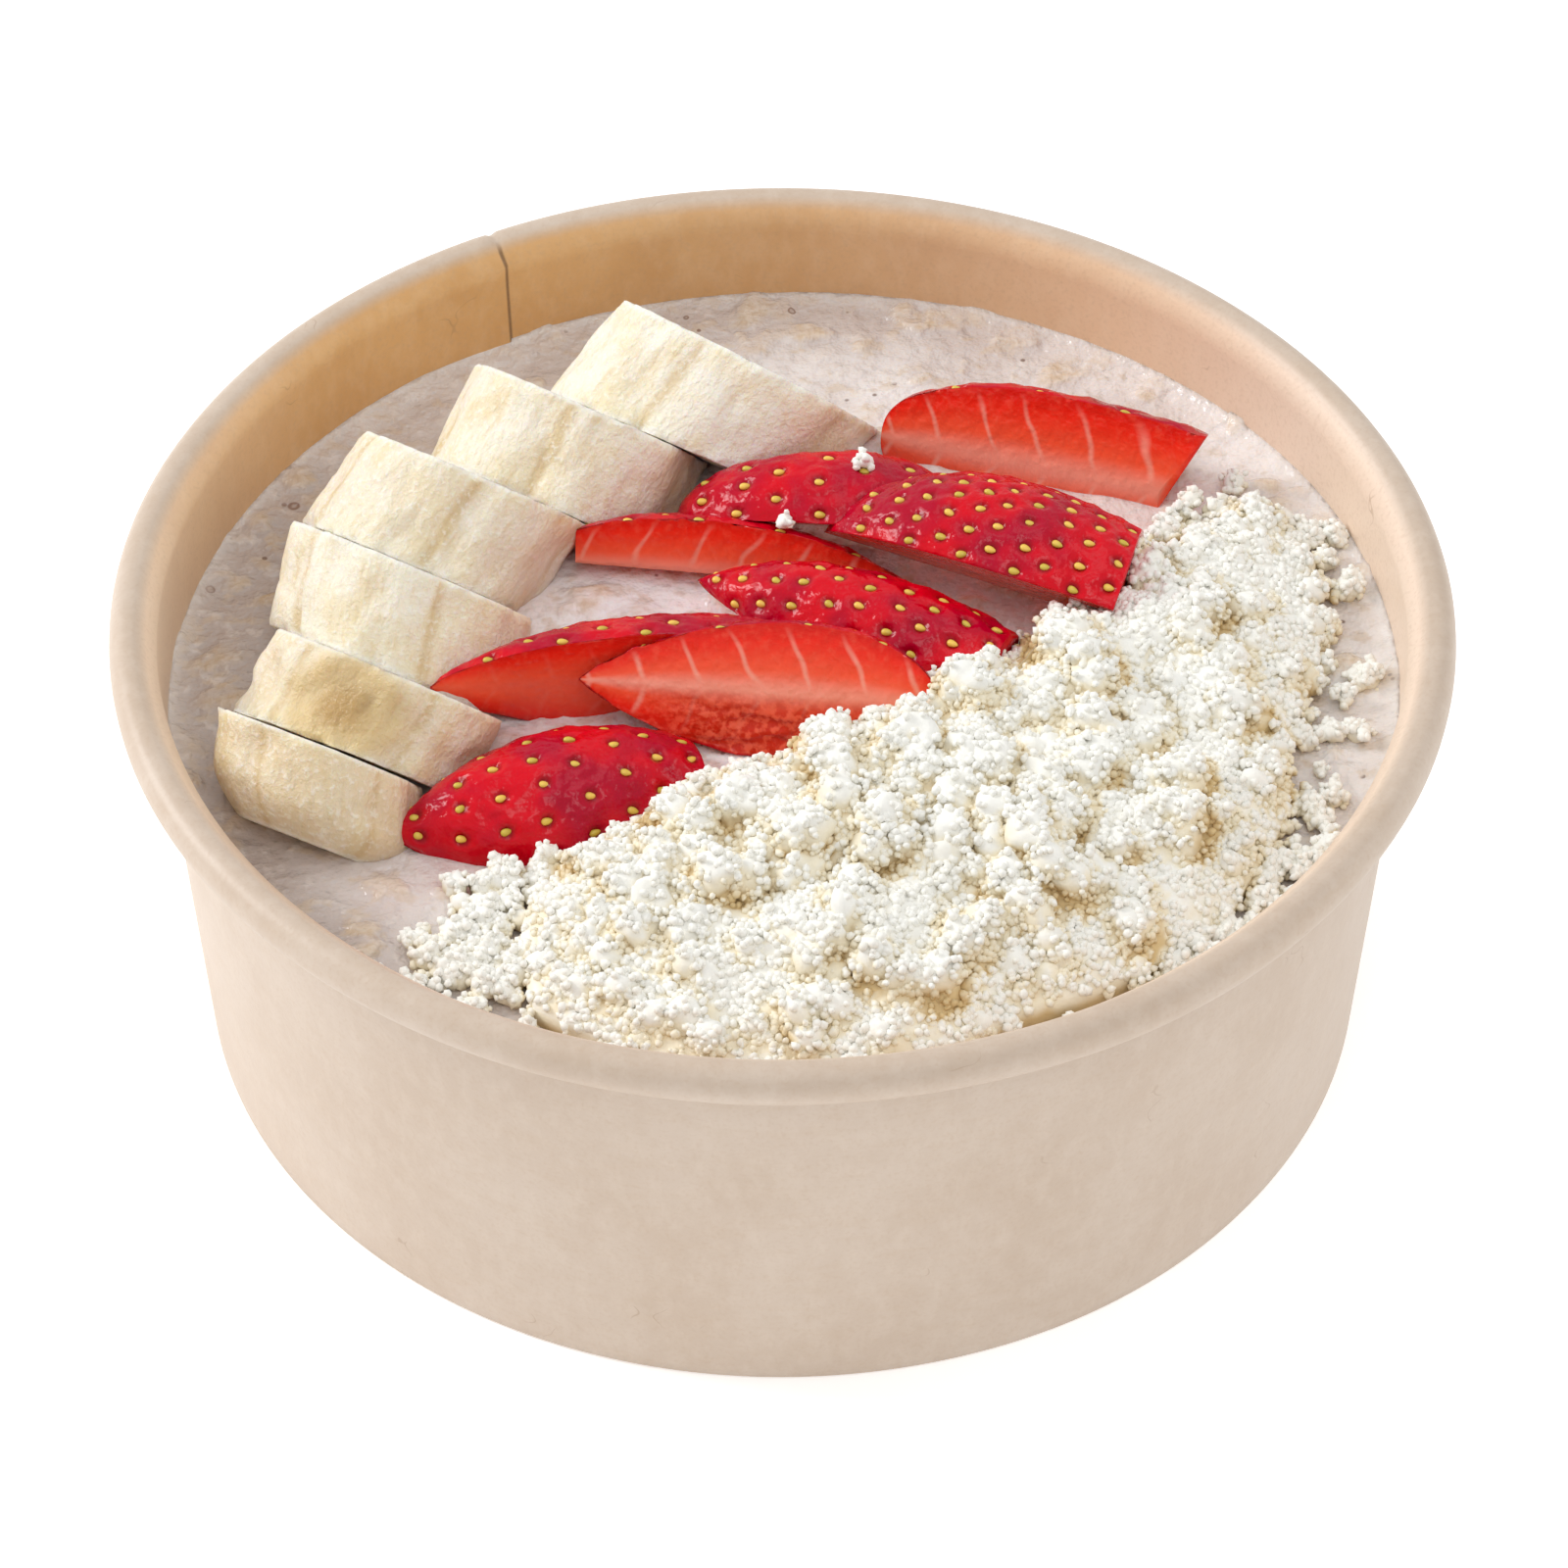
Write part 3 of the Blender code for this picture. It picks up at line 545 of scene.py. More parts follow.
random.seed(11)
oats = Finish(
    "oats in milk",
    Subsurface_Weight=0.20,
    Subsurface_Radius=(0.0030, 0.0022, 0.0016),
    Subsurface_Scale=1.0,
    Specular_IOR_Level=0.5,
)
place = oats.place()
milk_clouds = oats.cloud(place, 0.010, 3.0)
fine_curd = oats.cloud(place, 0.0013, 3.0)
milk = oats.mix(milk_clouds.rise(0.35, 0.65), paint(236, 230, 227), paint(218, 207, 202))
milk = oats.mix(oats.carried("rich").rise(0.1, 0.7), milk, paint(250, 252, 252))
# Painted shade: the milk darker near the wall at the left, back and near side
milk = oats.mix(oats.carried("wall_shade") * 0.85, milk, paint(176, 161, 153))
milk = oats.mix(fine_curd.rise(0.55, 0.75) * 0.3, milk, paint(204, 188, 176))
oat = oats.mix(fine_curd.rise(0.4, 0.6), paint(212, 188, 156), paint(230, 214, 194))
# The same painted shade from the wall over the oats
oat = oats.mix(oats.carried("wall_shade") * 0.5, oat, paint(176, 150, 122))
curds = oats.cloud(place, 0.0026, 3.0)
grits = oats.cloud(oats.place((1.0, 1.3, 1.0)), 0.0031, 3.0)
milk = oats.mix(grits.rise(0.54, 0.66) * 0.45, milk, paint(206, 184, 156))
milk = oats.mix(curds.rise(0.54, 0.68) * 0.32, milk, paint(236, 228, 222))
colour = oats.mix(oats.carried("flake").rise(0.1, 0.9) * grits.rise(0.30, 0.60) * 0.75, milk, oat)
speck_place = oats.cells(place, 0.0036)
speck_kept = oats.cloud(place, 0.0060, 2.0).rise(0.48, 0.56)
specks = speck_place.rise(0.12, 0.06) * speck_kept
colour = oats.mix(specks * 0.8, colour, paint(108, 82, 68))
# Painted shade: each bubble's crater as a darker middle and a dark ring
for at_x, at_y, radius in BUBBLES:
    centre = (at_x, at_y, level_at(at_x, at_y))
    away = oats.node("ShaderNodeVectorMath", {"operation": "DISTANCE"}, {0: place, 1: centre}, "Value")
    ring = away.rise(radius * 0.5, radius * 0.9) * away.rise(radius * 1.25, radius)
    colour = oats.mix(away.rise(radius * 1.1, radius * 0.9) * 0.45, colour, paint(158, 132, 116))
    colour = oats.mix(ring * 0.7, colour, paint(120, 86, 68))
# Painted reflection: pink light from the strawberries on the milk beside them
colour = oats.mix(oats.carried("berry_glow") * 0.10, colour, paint(246, 190, 190))
colour = oats.mix(oats.carried("edge") * 0.8, colour, paint(242, 233, 226))
oats.feel(colour, fine_curd * 0.12 + 0.12)
oats.relief(fine_curd * 0.5 + curds + grits, 0.00055)
porridge = make_porridge(oats)
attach(porridge, "root")
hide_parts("porridge")


# Banana slices
# One peeled fruit cut across and pushed over like dominoes, so that its peeled side shows,
# with strings along it, and the cuts stand edge-on. The fifth slice is bruised and sunken.

# Each slice: the middle of its upper cut, half its width, its heading and lean in degrees,
# and how far its strings run askew
BANANA_SLICES = (
    ((-0.0041, 0.0478, 0.0492), 0.0170, 37.6, 42.0, 11.0),
    ((-0.0224, 0.0389, 0.0491), 0.0147, 32.9, 42.5, 3.0),
    ((-0.0351, 0.0250, 0.0508), 0.0140, 31.8, 41.7, 11.0),
    ((-0.0416, 0.0108, 0.0491), 0.0148, 30.6, 41.0, -10.0),
    ((-0.0435, -0.0055, 0.0479), 0.0136, 30.2, 40.0, 7.0),
    ((-0.0510, -0.0160, 0.0468), 0.0121, 28.3, 39.5, -17.0),
)
BANANA_GAPS = (0.00012, 0.00012, 0.00022, 0.00012, 0.00036)
BANANA_TOP = 0.0606
# How much painted shade darkens each slice, most on the last
BANANA_SLICE_SHADE = (0.0, 0.1, 0.25, 0.1, 0.35, 0.65)
BANANA_LAST_THICKNESS = 0.0104
BANANA_DEPTH = 0.93
BANANA_FACING = (0.0, -0.727, 0.686)
BANANA_RIDGES = 5
BANANA_RIDGE_HEIGHT = 0.035
BANANA_EDGE = ((0.0, 0.988), (0.04, 1.0), (0.5, 1.008), (0.96, 1.0), (1.0, 0.988))
BANANA_SIDES = 150
BANANA_STATIONS = 26
BANANA_CUT_RINGS = 8
LAST_ROUND_FROM = 0.55
LAST_ROUND_OVER = 0.45
LAST_ROUNDING = 0.30
RIM_SHARE = 0.08
SUNK = 0.0012
# Bumps of each kind: their size and their height
SOFT_DENTS = (0.0045, 0.0008)
FINE_DENTS = (0.0012, 0.00035)
RIM_CRAGS = (0.0019, 0.0012)
CUT_GRAIN = (0.0016, 0.00012)
BRUISED_SLICE = 4
# The bruise and the nick beside it: each one's turn and share along, its size and its depth
BRUISE = (1.75, 0.55)
BRUISE_SIZE = (0.55, 0.50)
BRUISE_DEPTH = 0.0016
NICK = (2.72, 0.75)
NICK_SIZE = (0.22, 0.35)
NICK_DEPTH = 0.0022


def slice_frame(lean, heading):
    """The slice's own directions: along it, across it, and towards the shown side."""
    level = math.cos(lean)
    axis = Vector((level * math.sin(heading), level * math.cos(heading), math.sin(lean)))
    across = axis.cross(Vector(BANANA_FACING)).normalized()
    towards = across.cross(axis).normalized()
    return axis, across, towards


def bump_at(place, size, height):
    return height * noise.noise(place / size)


def hollow_at(turn, along, middle, size):
    """1 in the middle of a hollow in the side, falling to 0 round it."""
    return math.exp(-((turn - middle[0]) / size[0]) ** 2 - ((along - middle[1]) / size[1]) ** 2)


def make_banana(index, finish):
    centre, half, heading, lean, skew = BANANA_SLICES[index]
    axis, across, towards = slice_frame(math.radians(lean), math.radians(heading))
    grain = (axis + across * math.tan(math.radians(skew))).normalized()
    centre = Vector(centre)
    if index + 1 < len(BANANA_SLICES):
        below = BANANA_SLICES[index + 1]
        below_axis = slice_frame(math.radians(below[3]), math.radians(below[2]))[0]
        below_point = Vector(below[0]) + below_axis * BANANA_GAPS[index]
    else:
        below_axis = axis
        below_point = centre - axis * BANANA_LAST_THICKNESS
    rings = [(0.0, 0.001 + i / BANANA_CUT_RINGS) for i in range(BANANA_CUT_RINGS)]
    for i in range(BANANA_STATIONS + 1):
        rings.append((0.5 - 0.5 * math.cos(math.pi * i / BANANA_STATIONS), 1.0))
    rings += [(1.0, 0.001 + i / BANANA_CUT_RINGS) for i in range(BANANA_CUT_RINGS - 1, -1, -1)]
    points = []
    strings = []
    bruise = []
    ridges = []
    rims = []
    right = []
    # tan: the painted shade over this whole slice
    tan = []
    for along, share in rings:
        swell = float(np.interp(along, *zip(*BANANA_EDGE)))
        if index == len(BANANA_SLICES) - 1:
            swell *= 1.0 - LAST_ROUNDING * max(0.0, (along - LAST_ROUND_FROM) / LAST_ROUND_OVER) ** 2
        for side in range(BANANA_SIDES):
            turn = 2 * math.pi * side / BANANA_SIDES
            facet = abs(math.cos((BANANA_RIDGES * turn + index) / 2.0))
            ridge = 1.0 + BANANA_RIDGE_HEIGHT * (2.0 * facet - 1.2)
            flat = across * math.cos(turn) + towards * math.sin(turn) * BANANA_DEPTH
            around = Vector((math.cos(turn) * half, math.sin(turn) * half, 0.03 * index))
            deep = Vector((0.0, 0.0, along * 0.012))
            worn = bump_at(around + deep, *SOFT_DENTS) + bump_at(around + deep * 0.3, *FINE_DENTS)
            rim = max(0.0, 1.0 - along / RIM_SHARE) + max(0.0, 1.0 - (1.0 - along) / RIM_SHARE)
            worn += rim * (bump_at(around + deep, *RIM_CRAGS) - 0.0001)
            sunken = 0.0
            if index == BRUISED_SLICE:
                sunken = hollow_at(turn, along, BRUISE, BRUISE_SIZE)
                nick = hollow_at(turn, along, NICK, NICK_SIZE)
                worn -= BRUISE_DEPTH * sunken + NICK_DEPTH * nick
            outward = half * ridge * swell + min(0.0, worn - 0.00015)
            top = centre + flat * (outward * share)
            reach = (top - below_point).dot(below_axis) / grain.dot(below_axis)
            point = top - grain * (reach * along)
            if share < 1.0 or along in (0.0, 1.0):
                facing = -axis if along == 0.0 else axis
                point += facing * (0.00006 + bump_at(around * share + deep, *CUT_GRAIN))
            point.z = min(BANANA_TOP, max(point.z, level_at(point.x, point.y) - SUNK))
            points.append(point)
            strings.append((turn * half, reach * along, 0.03 * index + share * half))
            bruise.append(sunken)
            # ridge: highest in the grooves between facets, where painted shade goes
            ridges.append(1.0 - facet + bump_at(point, 0.003, 0.10))
            rims.append(rim if share == 1.0 else 1.0)
            right.append(math.cos(turn))
            tan.append(BANANA_SLICE_SHADE[index])
    faces = []
    for ring in range(len(rings) - 1):
        here = ring * BANANA_SIDES
        for side in range(BANANA_SIDES):
            k = (side + 1) % BANANA_SIDES
            faces.append((here + side, here + k, here + BANANA_SIDES + k, here + BANANA_SIDES + side))
    carried = {"strings": strings, "bruise": bruise, "ridge": ridges, "rim": rims, "right": right, "tan": tan}
    return new_piece(f"banana_{index + 1}", points, faces, finish, carried)


banana = Finish(
    "banana flesh",
    Subsurface_Weight=0.35,
    Subsurface_Radius=(0.0040, 0.0028, 0.0012),
    Subsurface_Scale=1.0,
    Specular_IOR_Level=0.4,
)
along_strings = banana.place((1.0, 0.35, 1.0), "strings")
place = banana.place()
string_lines = banana.cloud(along_strings, 0.0007, 4.0)
string_bands = banana.cloud(banana.place((1.0, 0.30, 1.0), "strings"), 0.0040, 4.0)
patches = banana.cloud(place, 0.0070, 3.0)
pulp = banana.cloud(place, 0.0007, 4.0, 0.6)
colour = banana.mix(patches.rise(0.40, 0.66), paint(246, 240, 224), paint(242, 230, 202))
# Painted shade, set for each slice
colour = banana.mix(banana.carried("tan"), colour, paint(222, 200, 160))
colour = banana.mix(string_bands.rise(0.54, 0.72) * 0.5, colour, paint(228, 206, 156))
colour = banana.mix(string_lines.rise(0.52, 0.70) * 0.35, colour, paint(222, 198, 150))
# Darker lines along the grooves between facets: painted shade in the grooves, and the strings that lie in
# them
colour = banana.mix(banana.carried("ridge").rise(0.80, 1.0) * 0.55, colour, paint(208, 178, 118))
colour = banana.mix(pulp.rise(0.50, 0.68) * 0.55, colour, paint(252, 248, 238))
colour = banana.mix(banana.carried("rim").rise(0.2, 0.9) * 0.7, colour, paint(252, 248, 236))
# Painted shade, pinkish, on the right-hand side of each slice, turned away from the light
tint_mask = banana.carried("right").rise(0.45, 0.98) * patches.rise(0.30, 0.55)
colour = banana.mix(tint_mask * 0.6, colour, paint(226, 192, 160))
bruise_edge = banana.carried("bruise") + pulp * 0.3
colour = banana.mix(bruise_edge.rise(0.25, 0.65) * 0.8, colour, paint(218, 190, 134))
colour = banana.mix(bruise_edge.rise(0.75, 1.15) * 0.85, colour, paint(186, 150, 94))
banana.feel(colour, 0.5 - banana.carried("bruise") * 0.35)
banana.relief(string_lines * 0.6 + pulp * 0.9, 0.00042)
for index in range(len(BANANA_SLICES)):
    piece = make_banana(index, banana)
    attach(piece, "root")
    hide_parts(f"banana_slice_{index + 1}")


# Strawberry wedges
# Hulled strawberries quartered lengthwise: glossy red skin with a seed in each dimple, and
# wet cut faces with a pale core and pale rays running out to the skin.
Wedge = namedtuple("Wedge", "left right radius first_cut last_cut tip shoulder point overhang pitch pale")
# Each wedge's two ends and radius, the turns of its two cuts in degrees, the end where its
# tip is, how far its stem end draws in, how sharp its tip is, how far its first cut runs
# past the stem end, the way between its seeds, and how pale its core is
STRAWBERRIES = (
    Wedge((0.0116, 0.0394, 0.0452), (0.0438, 0.0294, 0.0450), 0.0094, 112, 280,
          "left", 0.28, 0.38, 0.0046, 0.0050, 0.9),
    Wedge((-0.0123, 0.0245, 0.0452), (0.0205, 0.0216, 0.0455), 0.0090, 42, 160,
          "left", 0.75, 0.50, 0.0, 0.0050, 0.2),
    Wedge((0.0048, 0.0185, 0.0482), (0.0375, 0.0066, 0.0452), 0.0126, 50, 172,
          "left", 0.22, 0.62, 0.0012, 0.0036, 0.1),
    Wedge((-0.0238, 0.0178, 0.0442), (0.0150, 0.0125, 0.0446), 0.0070, 106, 200,
          "right", 0.60, 0.75, 0.0, 0.0050, 0.8),
    Wedge((-0.0096, 0.0117, 0.0470), (0.0243, -0.0036, 0.0452), 0.0077, 12, 165,
          "left", 0.38, 0.80, 0.0, 0.0040, 0.3),
    Wedge((-0.0392, -0.0078, 0.0482), (0.0060, -0.0030, 0.0450), 0.0080, 88, 268,
          "left", 0.75, 0.72, 0.0, 0.0046, 0.12),
    Wedge((-0.0226, -0.0078, 0.0495), (0.0166, -0.0125, 0.0500), 0.0084, 118, 292,
          "left", 0.90, 0.85, 0.0, 0.0050, 1.0),
    Wedge((-0.0430, -0.0266, 0.0436), (-0.0098, -0.0158, 0.0393), 0.0095, -20, 165,
          "left", 0.55, 0.85, 0.0, 0.0045, 0.3),
)
BERRY_WIDEST = 0.62
BERRY_STATIONS = 96
BERRY_SKIN_STEPS = 76
BERRY_CUT_STEPS = 16
SEED_LENGTH = 0.00135
SEED_WIDTH = 0.00085
SEED_THICKNESS = 0.00035
SEED_RINGS = 8
SEED_SIDES = 12
SEED_BEDDING = 0.00068
SEED_MARGIN = 0.0008
SEED_ROW_PITCH = 0.87
DIMPLE_DEPTH = 0.00055
DIMPLE_WIDTH = 0.00085
DIMPLE_RIM = 0.00016
SKIN_INSET = 0.0003
TORN_WEDGE = 7
SEED_LEAN = 0.35
SEED_DRIFT_ROUND = 0.08
SEED_DRIFT_ALONG = 0.12
# Bumps of each kind: their size and their height
SKIN_SWELLS = (0.0035, 0.00030)
SKIN_WRINKLES = (0.0014, 0.00012)
TORN_STRANDS = (0.0012, 0.0008)
CUT_FLESH = (0.0012, 0.00008)


def berry_radius(s, shoulder, point):
    if s < BERRY_WIDEST:
        return (1.0 - (1.0 - s / BERRY_WIDEST) ** 2) ** point
    return math.sqrt(1.0 - shoulder * ((s - BERRY_WIDEST) / (1.0 - BERRY_WIDEST)) ** 2)


def berry_point(wedge, s, degrees):
    """The core point at s, the way out from it, the reach, and the way from core to skin."""
    left, right = Vector(wedge.left), Vector(wedge.right)
    along = (right - left).normalized()
    near = Vector((along.y, -along.x, 0.0)).normalized()
    up = near.cross(along)
    turn = math.radians(degrees)
    core = left.lerp(right, s if wedge.tip == "left" else 1.0 - s)
    outward = near * math.cos(turn) + up * math.sin(turn)
    reach = wedge.radius * berry_radius(s, wedge.shoulder, wedge.point)
    past_widest = max(0.0, (s - BERRY_WIDEST) / (1.0 - BERRY_WIDEST))
    near_first_cut = max(0.0, math.cos(turn - math.radians(wedge.first_cut)))
    stemward = along if wedge.tip == "left" else -along
    overhang = stemward * (wedge.overhang * past_widest ** 2 * near_first_cut)
    return core, outward, reach, outward * reach + overhang


def seed_places(wedge):
    """Staggered rows over the skin, each a little out of line, clear of the cuts."""
    left, right = Vector(wedge.left), Vector(wedge.right)
    length = (right - left).length
    along = (right - left).normalized()
    rows = int(length / (wedge.pitch * SEED_ROW_PITCH))
    places = []
    for i in range(1, rows + 1):
        s = (i - 0.35) / rows
        reach = berry_point(wedge, s, 0.0)[2]
        margin = math.degrees(SEED_MARGIN / reach)
        span = max(0.0, wedge.last_cut - wedge.first_cut - 2 * margin)
        count = int(math.radians(span) * reach / wedge.pitch + 0.5)
        for j in range(count + 1):
            drift = random.uniform(-1.0, 1.0) * SEED_DRIFT_ROUND / (count + 1)
            share = (j + 0.5 * (i % 2)) / (count + 0.5) + drift
            at = min(0.995, max(0.01, s + random.uniform(-1.0, 1.0) * SEED_DRIFT_ALONG / rows))
            degrees = wedge.first_cut + margin + span * min(1.0, max(0.0, share))
            core, outward, _, to_skin = berry_point(wedge, at, degrees)
            place = core + to_skin
            if place.z > level_at(place.x, place.y) + 0.0003:
                places.append((place, outward, along))
    return places


def make_berry(number, wedge, places, finish):
    tree = kdtree.KDTree(max(1, len(places)))
    for i, (place, _, _) in enumerate(places):
        tree.insert(place, i)
    tree.balance()
    cut_shares = [(i / BERRY_CUT_STEPS) ** 0.8 for i in range(BERRY_CUT_STEPS)]
    ring = [(wedge.first_cut, share, 0.0) for share in cut_shares]
    for i in range(BERRY_SKIN_STEPS + 1):
        skin_turn = wedge.first_cut + (wedge.last_cut - wedge.first_cut) * i / BERRY_SKIN_STEPS
        ring.append((skin_turn, 1.0, 1.0))
    ring += [(wedge.last_cut, share, 0.0) for share in reversed(cut_shares[1:])]
    length = (Vector(wedge.right) - Vector(wedge.left)).length
    points = []
    flesh = []
    skin = []
    dimple = []
    torn = []
    for i in range(BERRY_STATIONS + 1):
        s = max(0.0004, 0.5 - 0.5 * math.cos(math.pi * i / BERRY_STATIONS))
        for degrees, share, is_skin in ring:
            core, outward, reach, to_skin = berry_point(wedge, s, degrees)
            point = core + to_skin * share
            pit = 0.0
            rough = 0.0
            if is_skin and places:
                away = tree.find(point)[2]
                pit = math.exp(-(away / DIMPLE_WIDTH) ** 2)
                rim = math.exp(-((away - 1.7 * DIMPLE_WIDTH) / DIMPLE_WIDTH) ** 2)
                swell = bump_at(point, *SKIN_SWELLS) + bump_at(point, *SKIN_WRINKLES)
                point += outward * (swell - DIMPLE_DEPTH * pit + DIMPLE_RIM * rim - SKIN_INSET)
            elif number == TORN_WEDGE and degrees == wedge.last_cut:
                rough = min(1.0, share * 3.0) * min(1.0, max(0.0, (s - 0.15) / 0.2))
                strand = bump_at(Vector((point.x * 0.25, point.y, point.z)), *TORN_STRANDS)
                point += Vector((0.0, 0.7, 0.4)) * (rough * abs(strand) * 2.0)
            else:
                point += outward * bump_at(point, *CUT_FLESH)
            point.z = max(point.z, level_at(point.x, point.y) - SUNK)
            points.append(point)
            flesh.append((s * length, share * reach, share))
            skin.append(is_skin)
            dimple.append(pit)
            torn.append(rough)
    count = len(ring)
    faces = []
    for i in range(BERRY_STATIONS):
        here = i * count
        for j in range(count):
            k = (j + 1) % count
            faces.append((here + j, here + k, here + count + k, here + count + j))
    faces.append(tuple(range(count - 1, -1, -1)))
    faces.append(tuple(range(BERRY_STATIONS * count, (BERRY_STATIONS + 1) * count)))
    pale = [wedge.pale] * len(points)
    carried = {"flesh": flesh, "skin": skin, "dimple": dimple, "torn": torn, "pale": pale}
    return new_piece(f"strawberry_wedge_{number}", points, faces, finish, carried)


def make_seeds(places, finish):
    """Every seed: a small pip, pointed at one end, lying in its dimple."""
    points = []
    faces = []
    for place, outward, along in places:
        lean = random.uniform(-SEED_LEAN, SEED_LEAN)
        side = outward.cross(along)
        axis = along * math.cos(lean) + side * math.sin(lean)
        side = outward.cross(axis)
        first = len(points)
        for i in range(SEED_RINGS + 1):
            t = math.pi * i / SEED_RINGS
            x = -math.cos(t)
            width = math.sin(t) * (1.0 - 0.25 * x)
            for j in range(SEED_SIDES):
                a = 2 * math.pi * j / SEED_SIDES
                offset = axis * (x * SEED_LENGTH / 2) + side * (width * math.cos(a) * SEED_WIDTH / 2)
                thick = outward * (width * math.sin(a) * SEED_THICKNESS)
                points.append(place - outward * SEED_BEDDING + offset + thick)
        for i in range(SEED_RINGS):
            here = first + i * SEED_SIDES
            for j in range(SEED_SIDES):
                k = (j + 1) % SEED_SIDES
                faces.append((here + j, here + k, here + SEED_SIDES + k, here + SEED_SIDES + j))
    return new_piece("strawberry_seeds", points, faces, finish)


random.seed(5)
berry = Finish(
    "strawberry",
    Subsurface_Weight=0.15,
    Subsurface_Radius=(0.0030, 0.0008, 0.0005),
    Subsurface_Scale=1.0,
    Specular_IOR_Level=0.26,
)
place = berry.place()
tint_mask = berry.cloud(place, 0.0085, 2.0)
fine = berry.cloud(place, 0.0009, 3.0)
gloss_waves = berry.cloud(place, 0.0022, 2.0)
skin_red = berry.mix(tint_mask.rise(0.40, 0.62), paint(210, 0, 26), paint(176, 0, 40))
skin_red = berry.mix(fine.rise(0.55, 0.8) * 0.25, skin_red, paint(208, 34, 60))
# Painted shade in the dimples round the seeds
skin_red = berry.mix(berry.carried("dimple").rise(0.12, 0.7) * 0.85, skin_red, paint(138, 0, 10))
flesh = berry.node("ShaderNodeAttribute", {"attribute_name": "flesh"}, {}, "Vector")
share = berry.node("ShaderNodeSeparateXYZ", {}, {0: flesh}, "Z")
from_tip = berry.node("ShaderNodeSeparateXYZ", {}, {0: flesh}, "X")
from_core = berry.node("ShaderNodeSeparateXYZ", {}, {0: flesh}, "Y")
wander = berry.cloud(place, 0.0060, 1.0)
ray_turns = (from_tip + from_core * 0.45 + wander * 0.0030) * (1.0 / 0.0062)
ray_line = abs(ray_turns.maths("FRACT", ray_turns) - 0.5)
rays = berry.carried("pale") * ray_line.rise(0.085, 0.0) * share.rise(0.02, 0.25) * share.rise(0.98, 0.55)
fibres = berry.cloud(berry.place((1.0, 0.12, 1.0), "flesh"), 0.0006, 3.0)
red_flesh = berry.mix(share.rise(0.20, 0.80), paint(255, 92, 58), paint(246, 32, 14))
red_flesh = berry.mix(share.rise(0.70, 1.0), red_flesh, paint(216, 6, 6))
red_flesh = berry.mix(fibres.rise(0.45, 0.75) * 0.30, red_flesh, paint(255, 136, 104))
red_flesh = berry.mix(fine.rise(0.45, 0.75) * 0.22, red_flesh, paint(255, 120, 90))
red_flesh = berry.mix(rays * 0.55, red_flesh, paint(255, 190, 170))
red_flesh = berry.mix(berry.carried("pale") * share.rise(0.34, 0.0) * 0.6, red_flesh, paint(255, 190, 170))
torn_flesh = berry.mix(fine.rise(0.40, 0.62), paint(206, 46, 24), paint(244, 104, 76))
red_flesh = berry.mix(berry.carried("torn") * 0.9, red_flesh, torn_flesh)
berry.feel(berry.mix(berry.carried("skin"), red_flesh, skin_red), fine * 0.12 + 0.09)
berry.relief(fine * 0.35 + gloss_waves, 0.00040)

pip = Finish("strawberry pip", Specular_IOR_Level=0.5)
pip_tone = pip.cloud(pip.place(), 0.0040, 1.0)
pip.feel(pip.mix(pip_tone.rise(0.4, 0.6), paint(240, 198, 88), paint(208, 184, 70)), 0.35)

all_places = []
for number, wedge in enumerate(STRAWBERRIES, 1):
    places = seed_places(wedge)
    piece = make_berry(number, wedge, places, berry)
    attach(piece, "root")
    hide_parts(f"strawberry_{number}")
    all_places += places
seeds = make_seeds(all_places, pip)
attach(seeds, "root")


# White crumble
# Soft dry crumbs tipped on in a broad heap. They cling together in clumps with painted cream shade
# in the hollows between, fine grains cover them, and loose ones lie on the porridge round the heap.
HEAP_CENTRE = (0.0170, -0.0250)
HEAP_OUTLINE = (
    (0.0610, 0.0080),
    (0.0600, 0.0190),
    (0.0560, 0.0270),
    (0.0480, 0.0285),
    (0.0435, 0.0230),
    (0.0415, 0.0135),
    (0.0345, 0.0070),
    (0.0270, 0.0020),
    (0.0220, -0.0030),
    (0.0150, -0.0075),
    (0.0090, -0.0130),
    (0.0010, -0.0165),
    (-0.0060, -0.0195),
    (-0.0120, -0.0235),
    (-0.0180, -0.0275),
    (-0.0225, -0.0320),
    (-0.0265, -0.0365),
    (-0.0280, -0.0420),
    (-0.0275, -0.0480),
    (-0.0265, -0.0540),
    (-0.0165, -0.0603),
    (0.0000, -0.0630),
    (0.0160, -0.0610),
    (0.0250, -0.0560),
    (0.0360, -0.0510),
    (0.0450, -0.0440),
    (0.0510, -0.0350),
    (0.0550, -0.0250),
    (0.0560, -0.0120),
    (0.0600, -0.0020),
)
GAP = 0.0003
HEAP_HEIGHT = 0.0080
HEAP_CROWN = 2.0
HEAP_FALL = 0.8
HEAP_EDGE = 0.0016
HEAP_ROUGHNESS = 0.0034
HEAP_BUMP = 0.0075
HEAP_SPOKES = 180
HEAP_RINGS = 60
LUMP_ROUGHNESS = 0.44
LUMP_BUMPS = 1.6
LUMP_REACH = 0.93
LUMP_SHRINK = 0.35
LUMP_SINK = 0.2
NOISE_SPREAD = 9.0
GOLDEN_ANGLE = math.pi * (3.0 - math.sqrt(5.0))
CRUMB_RISE = 0.35
